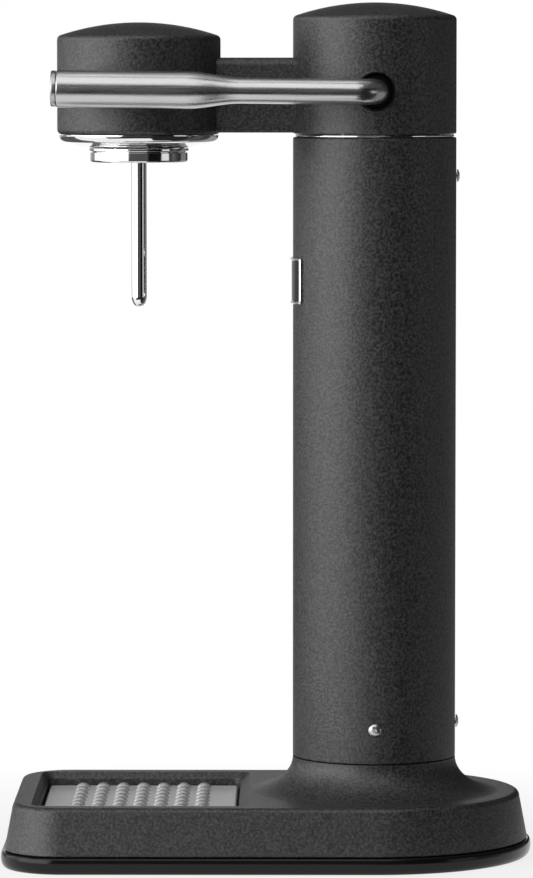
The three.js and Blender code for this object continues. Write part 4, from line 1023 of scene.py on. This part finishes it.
def grid_tree():
    tree, given, end = new_tree("Grid of domes", {
        "Dome": "Object", "Rows": "Int", "Columns": "Int", "Pitch along": "Float",
        "Pitch across": "Float", "Centre": "Vector", "Material": "Material"})
    grid, move, one, copies, both = nodes_in(
        tree, "GeometryNodeMeshGrid", "GeometryNodeSetPosition", "GeometryNodeObjectInfo",
        "GeometryNodeInstanceOnPoints", "GeometryNodeJoinGeometry")
    for count, pitch, size, corner in (("Columns", "Pitch along", "Size X", "Vertices X"),
                                       ("Rows", "Pitch across", "Size Y", "Vertices Y")):
        less, reach = nodes_in(tree, "ShaderNodeMath", "ShaderNodeMath")
        less.operation, reach.operation = "SUBTRACT", "MULTIPLY"
        less.inputs[1].default_value = 1
        wired(tree, (given, count, less, 0), (less, 0, reach, 0), (given, pitch, reach, 1),
              (reach, 0, grid, size), (given, count, grid, corner))
    wired(tree, (grid, "Mesh", move, "Geometry"), (given, "Centre", move, "Offset"),
          (given, "Dome", one, "Object"), (move, "Geometry", copies, "Points"),
          (one, "Geometry", copies, "Instance"), (copies, "Instances", both, "Geometry"),
          (given, "Geometry", both, "Geometry"))
    return closing(tree, both, "Geometry", given, end)


dome_nodes = grid_tree()
print(dome_nodes.name, "has", len(dome_nodes.nodes), "nodes")

# %% Drip plate
tray_low, tray_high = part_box("drip_plate")
sheet = 0.0012
dome_radius = 0.0036
rows, columns, pitch_along, pitch_across = 9, 7, 0.01, 0.0123


def tray():
    edge, corner = 0.0009, 0.0025
    levels = [(sheet, tray_top - sheet), (sheet, tray_low.z), (0, tray_low.z)]
    levels += [(edge - across, up) for across, up in arc(0, tray_top - edge, edge, 0, 90, 5)]
    return solid(lofted([
        rectangle(tray_low.x + inset, tray_high.x - inset, tray_high.y - inset, corner - inset / 2, height, 6)
        for inset, height in levels]))


def dome():
    ball = (dome_radius ** 2 + dome_rise ** 2) / (2 * dome_rise)
    lean = degrees(asin((ball - dome_rise) / ball))
    cap_arc = arc(0, dome_rise - ball, ball, lean, 90, 5)
    profile = [(0, -sheet / 2), (dome_radius, -sheet / 2), *cap_arc[:-1], (0, dome_rise)]
    return solid(turned(profile, closed=False, sides=20), "one_dome")


def drip_plate():
    centre = Vector(((tray_low.x + tray_high.x) / 2, 0, tray_top))
    return filled(tray(), dome_nodes, "Dome", dome(), {
        "Rows": rows, "Columns": columns, "Pitch along": pitch_along, "Pitch across": pitch_across,
        "Centre": centre, "Material": sheet_steel})


finished(drip_plate(), "drip_tray", sheet_steel, "drip_plate", "drip_plate", sharp=50)

# %% [markdown]
# ## Screws
#
# Button head screws with a hexagon socket hold the column, the collar and the underside. One screw
# is turned and its socket is cut, and a second node tree sets it on a list of seats. Each seat is
# a vertex with an arrow stored on it, which says which way the head faces.

# %% One screw, many seats
def one_screw(head_radius, head_height, shank_radius, length, socket_radius):
    head, ease = arc(0, 0, head_radius, 12, 72, 5, rise=head_height), 0.0001
    profile = [(0, -length), (shank_radius, -length), (shank_radius, 0), (head_radius - ease, 0), *head,
               (0, head[-1][1] + middle_rise)]
    body = solid(turned(profile, closed=False, sides=32), "one_screw")
    return cut(body, round_tool((0, 0, head_height), upright, socket_radius, head_height * 1.2, sides=6))


def screw_tree():
    tree, given, end = new_tree("Screws on their seats", {"Screw": "Object", "Size": "Float",
                                                          "Material": "Material"})
    facing, turn, screw, copies = nodes_in(
        tree, "GeometryNodeInputNamedAttribute", "FunctionNodeAlignRotationToVector",
        "GeometryNodeObjectInfo", "GeometryNodeInstanceOnPoints")
    facing.data_type = "FLOAT_VECTOR"
    facing.inputs["Name"].default_value = "facing"
    turn.axis = "Z"
    wired(tree, (facing, "Attribute", turn, "Vector"), (given, "Screw", screw, "Object"),
          (given, "Geometry", copies, "Points"), (screw, "Geometry", copies, "Instance"),
          (turn, "Rotation", copies, "Rotation"), (given, "Size", copies, "Scale"))
    return closing(tree, copies, "Instances", given, end)


def screws_on(seats, screw):
    """Seats are (place, facing)."""
    mesh = bpy.data.meshes.new("seats")
    mesh.from_pydata([place for place, _ in seats], [], [])
    arrows = mesh.attributes.new("facing", "FLOAT_VECTOR", "POINT")
    for entry, (_, facing) in zip(arrows.data, seats):
        entry.vector = facing
    body = bpy.data.objects.new("seats", mesh)
    bpy.context.scene.collection.objects.link(body)
    return filled(body, screw_nodes, "Screw", screw, {"Size": 1.0, "Material": screw_steel})


screw_nodes = screw_tree()
print(screw_nodes.name, "has", len(screw_nodes.nodes), "nodes")

# %% Case screws and collar screws
seat_radius = column_radius + gap
collar_seat_depth, down = 0.0012, (0, 0, -1)
case_seats = [((column_x + seat_radius * facing[0], seat_radius * facing[1], middle_of(name).z), facing)
              for name, facing in column_screws.items()]
case_seats += [((*middle_of(name).xy, under_low.z - gap), down) for name in bottom_screws]
collar_seats = [((*middle_of(name).xy, collar_low.z + collar_seat_depth), down) for name in collar_screws]
case_screw = one_screw(head_radius=0.0032, head_height=0.00135, shank_radius=0.0015, length=0.009,
                       socket_radius=0.00115)
finished(screws_on(case_seats, case_screw),
         "case_screws", screw_steel, "machine", *column_screws, *bottom_screws)
collar_screw = one_screw(head_radius=0.0023, head_height=0.00115, shank_radius=0.0012, length=0.0086,
                         socket_radius=0.0009)
finished(screws_on(collar_seats, collar_screw), "collar_screws", screw_steel, "machine", *collar_screws)

# %% [markdown]
# ## Floor, light and camera
#
# The machine stands on a white floor before a white world, as on a sheet of paper. The floor keeps
# a soft shadow near the foot and turns to plain white further out, by its own material. Polished
# metal is only as lively as what it reflects. So the set has large white lights on the left and
# above, the weakest one above and behind, and a wall of cards round the rest. Each card has a level
# of its own: dark in front and high up, and paler in strips low on the right and behind, where the
# real metal shows a bright line. Only reflections see the cards, because they are hidden from the
# camera and from scattered light. The camera stands well back with a long lens.

# %% Floor
def seen_by_rays(tree):
    """A node that gives 1 to what the camera sees, also in a mirror or through glass, and else 0."""
    rays = tree.nodes.new("ShaderNodeLightPath")
    total, output = rays, "Is Camera Ray"
    for kind in ("Is Glossy Ray", "Is Transmission Ray"):
        either = tree.nodes.new("ShaderNodeMath")
        either.operation = "MAXIMUM"
        wired(tree, (total, output, either, 0), (rays, kind, either, 1))
        total, output = either, 0
    return total


def floor_paper():
    paper = bpy.data.materials.new("floor_paper")
    paper.use_nodes = True
    tree = paper.node_tree
    tree.nodes.clear()
    place, distance, fade, share, matte, glow, mix, out = nodes_in(
        tree, "ShaderNodeTexCoord", "ShaderNodeVectorMath", "ShaderNodeMapRange", "ShaderNodeMath",
        "ShaderNodeBsdfDiffuse", "ShaderNodeEmission", "ShaderNodeMixShader", "ShaderNodeOutputMaterial")
    distance.operation, share.operation = "LENGTH", "MULTIPLY"
    for label, number in (("From Min", 0.1), ("From Max", 0.34), ("To Min", 0.8), ("To Max", 1)):
        fade.inputs[label].default_value = number
    matte.inputs["Color"].default_value = (0.8, 0.8, 0.8, 1)
    wired(tree, (place, "Object", distance, 0), (distance, "Value", fade, "Value"),
          (seen_by_rays(tree), 0, share, 0), (fade, "Result", share, 1), (share, 0, mix, "Fac"),
          (matte, "BSDF", mix, 1), (glow, "Emission", mix, 2), (mix, "Shader", out, "Surface"))
    return paper


floor_size = 30
bpy.ops.mesh.primitive_plane_add(size=floor_size)
floor = bpy.context.object
floor.name = floor.data.name = "floor"
floor.data.materials.append(floor_paper())
print("floor", floor_size, "m wide")

# %% World
world = bpy.data.worlds.new("paper_room")
bpy.context.scene.world = world
world.use_nodes = True
ambient = 0.03
strength = world.node_tree.nodes.new("ShaderNodeMapRange")
strength.inputs["To Min"].default_value = ambient
background = world.node_tree.nodes["Background"]
background.inputs["Color"].default_value = (1, 1, 1, 1)
wired(world.node_tree, (seen_by_rays(world.node_tree), 0, strength, "Value"),
      (strength, "Result", background, "Strength"))
print("ambient light", ambient)

# %% Lamps
stand = Vector((0, 0, 0.2))
lamp_distance = 1.6


def around(azimuth, elevation, distance):
    """A place round the machine; azimuth 0 is the camera's side and 90 is the right."""
    a, e = radians(azimuth), radians(elevation)
    return stand + distance * Vector((sin(a) * cos(e), -cos(a) * cos(e), sin(e)))


def softbox(name, azimuth, elevation, width, height, level):
    """Its level is what a mirror would show; a box of level 1 looks white."""
    lamp = bpy.data.lights.new(name, "AREA")
    lamp.shape, lamp.size, lamp.size_y = "RECTANGLE", width, height
    lamp.energy = pi * width * height * level
    made = bpy.data.objects.new(name, lamp)
    made.location = around(azimuth, elevation, lamp_distance)
    made.rotation_euler = (stand - made.location).to_track_quat("-Z", "Y").to_euler()
    bpy.context.scene.collection.objects.link(made)
    print(name, round(lamp.energy, 1), "W")


for box in (("key_left", -56, 10, 1.92, 1.6, 1.9), ("side_left", -106, 26, 1.16, 1.6, 0.6),
            ("top_light", -22, 56, 1.9, 1.2, 1.2), ("top_light_rear", 180, 82, 1.6, 1, 0.3)):
    softbox(*box)

# %% Cards
def card(name, start, end, near, far, level, steps=24):
    """A strip round the machine between two azimuths; near and far are (distance, height)."""
    paint = bpy.data.materials.new(name)
    paint.use_nodes = True
    for entry, value in (("Base Color", (0, 0, 0, 1)), ("Specular IOR Level", 0),
                         ("Emission Color", (1, 1, 1, 1)), ("Emission Strength", level)):
        shader_of(paint).inputs[entry].default_value = value
    angles = [radians(start + (end - start) * i / steps) for i in range(steps + 1)]
    shape = bmesh.new()
    edges = [[shape.verts.new((r * sin(a), -r * cos(a), z)) for a in angles] for r, z in (near, far)]
    for i in range(steps):
        shape.faces.new((edges[0][i], edges[0][i + 1], edges[1][i + 1], edges[1][i]))
    made = solid(shape, name)
    made.data.materials.append(paint)
    made.visible_camera = made.visible_diffuse = made.visible_shadow = False


# Each row has a name, the azimuths from and to, the low and high edge, and the level. A floor card
# has the distance of its near edge instead of the two edges.
card_distance, foot, top, floor_card_height = 3.2, -0.1, 2.2, 0.002
wall_cards = (
    ("front_card", -30, 22, foot, top, 0.08), ("front_right_card", 22, 56, foot, top, 0.005),
    ("right_strip", 56, 77, foot, 0.7, 0.8), ("right_strip_top", 56, 77, 0.7, top, 0.02),
    ("right_card", 77, 115, foot, 0.35, 0.3), ("right_card_top", 77, 115, 0.35, top, 0.06),
    ("rear_right_card", 115, 150, foot, 0.35, 0.2), ("rear_right_card_top", 115, 150, 0.35, top, 0.05),
    ("far_right_card", 150, 174, foot, top, 0.04), ("rear_card", 174, 240, 1.1, top, 0.08),
    ("rear_left_card", 210, 232, foot, 1.1, 0.3), ("rear_edge_card", 187, 210, foot, 1.1, 0.5))
floor_cards = (
    ("front_floor_card", -50, 14, 0.6, 0.03), ("right_floor_card", 14, 80, 0.16, 0.02),
    ("rear_right_floor_card", 80, 170, 0.25, 0.3), ("left_floor_card", 195, 255, 0.3, 0.1))
for name, start, end, low, high, level in wall_cards:
    card(name, start, end, (card_distance, low), (card_distance, high), level)
roof_opening, roof_height = 0.4, 2.9
card("roof", -180, 180, (card_distance, top), (roof_opening, roof_height), 0.08)
for name, start, end, near, level in floor_cards:
    card(name, start, end, (near, floor_card_height), (card_distance, floor_card_height), level)
print("cards:", len(wall_cards), "on the wall,", len(floor_cards), "on the floor and a roof")

# %% Camera
camera_data = bpy.data.cameras.new("camera")
camera_data.lens, camera_data.sensor_width = 222.96, 36
camera = bpy.data.objects.new("camera", camera_data)
camera.location = (0.01655, -2.6329, 0.3954)
camera_pitch, camera_turn = radians(4.197), radians(0.378)
camera.rotation_euler = Euler((pi / 2 - camera_pitch, 0, camera_turn))
bpy.context.scene.collection.objects.link(camera)
bpy.context.scene.camera = camera
bpy.context.scene.view_settings.view_transform = "Standard"
print("camera", round(-camera.location.y, 2), "m in front")
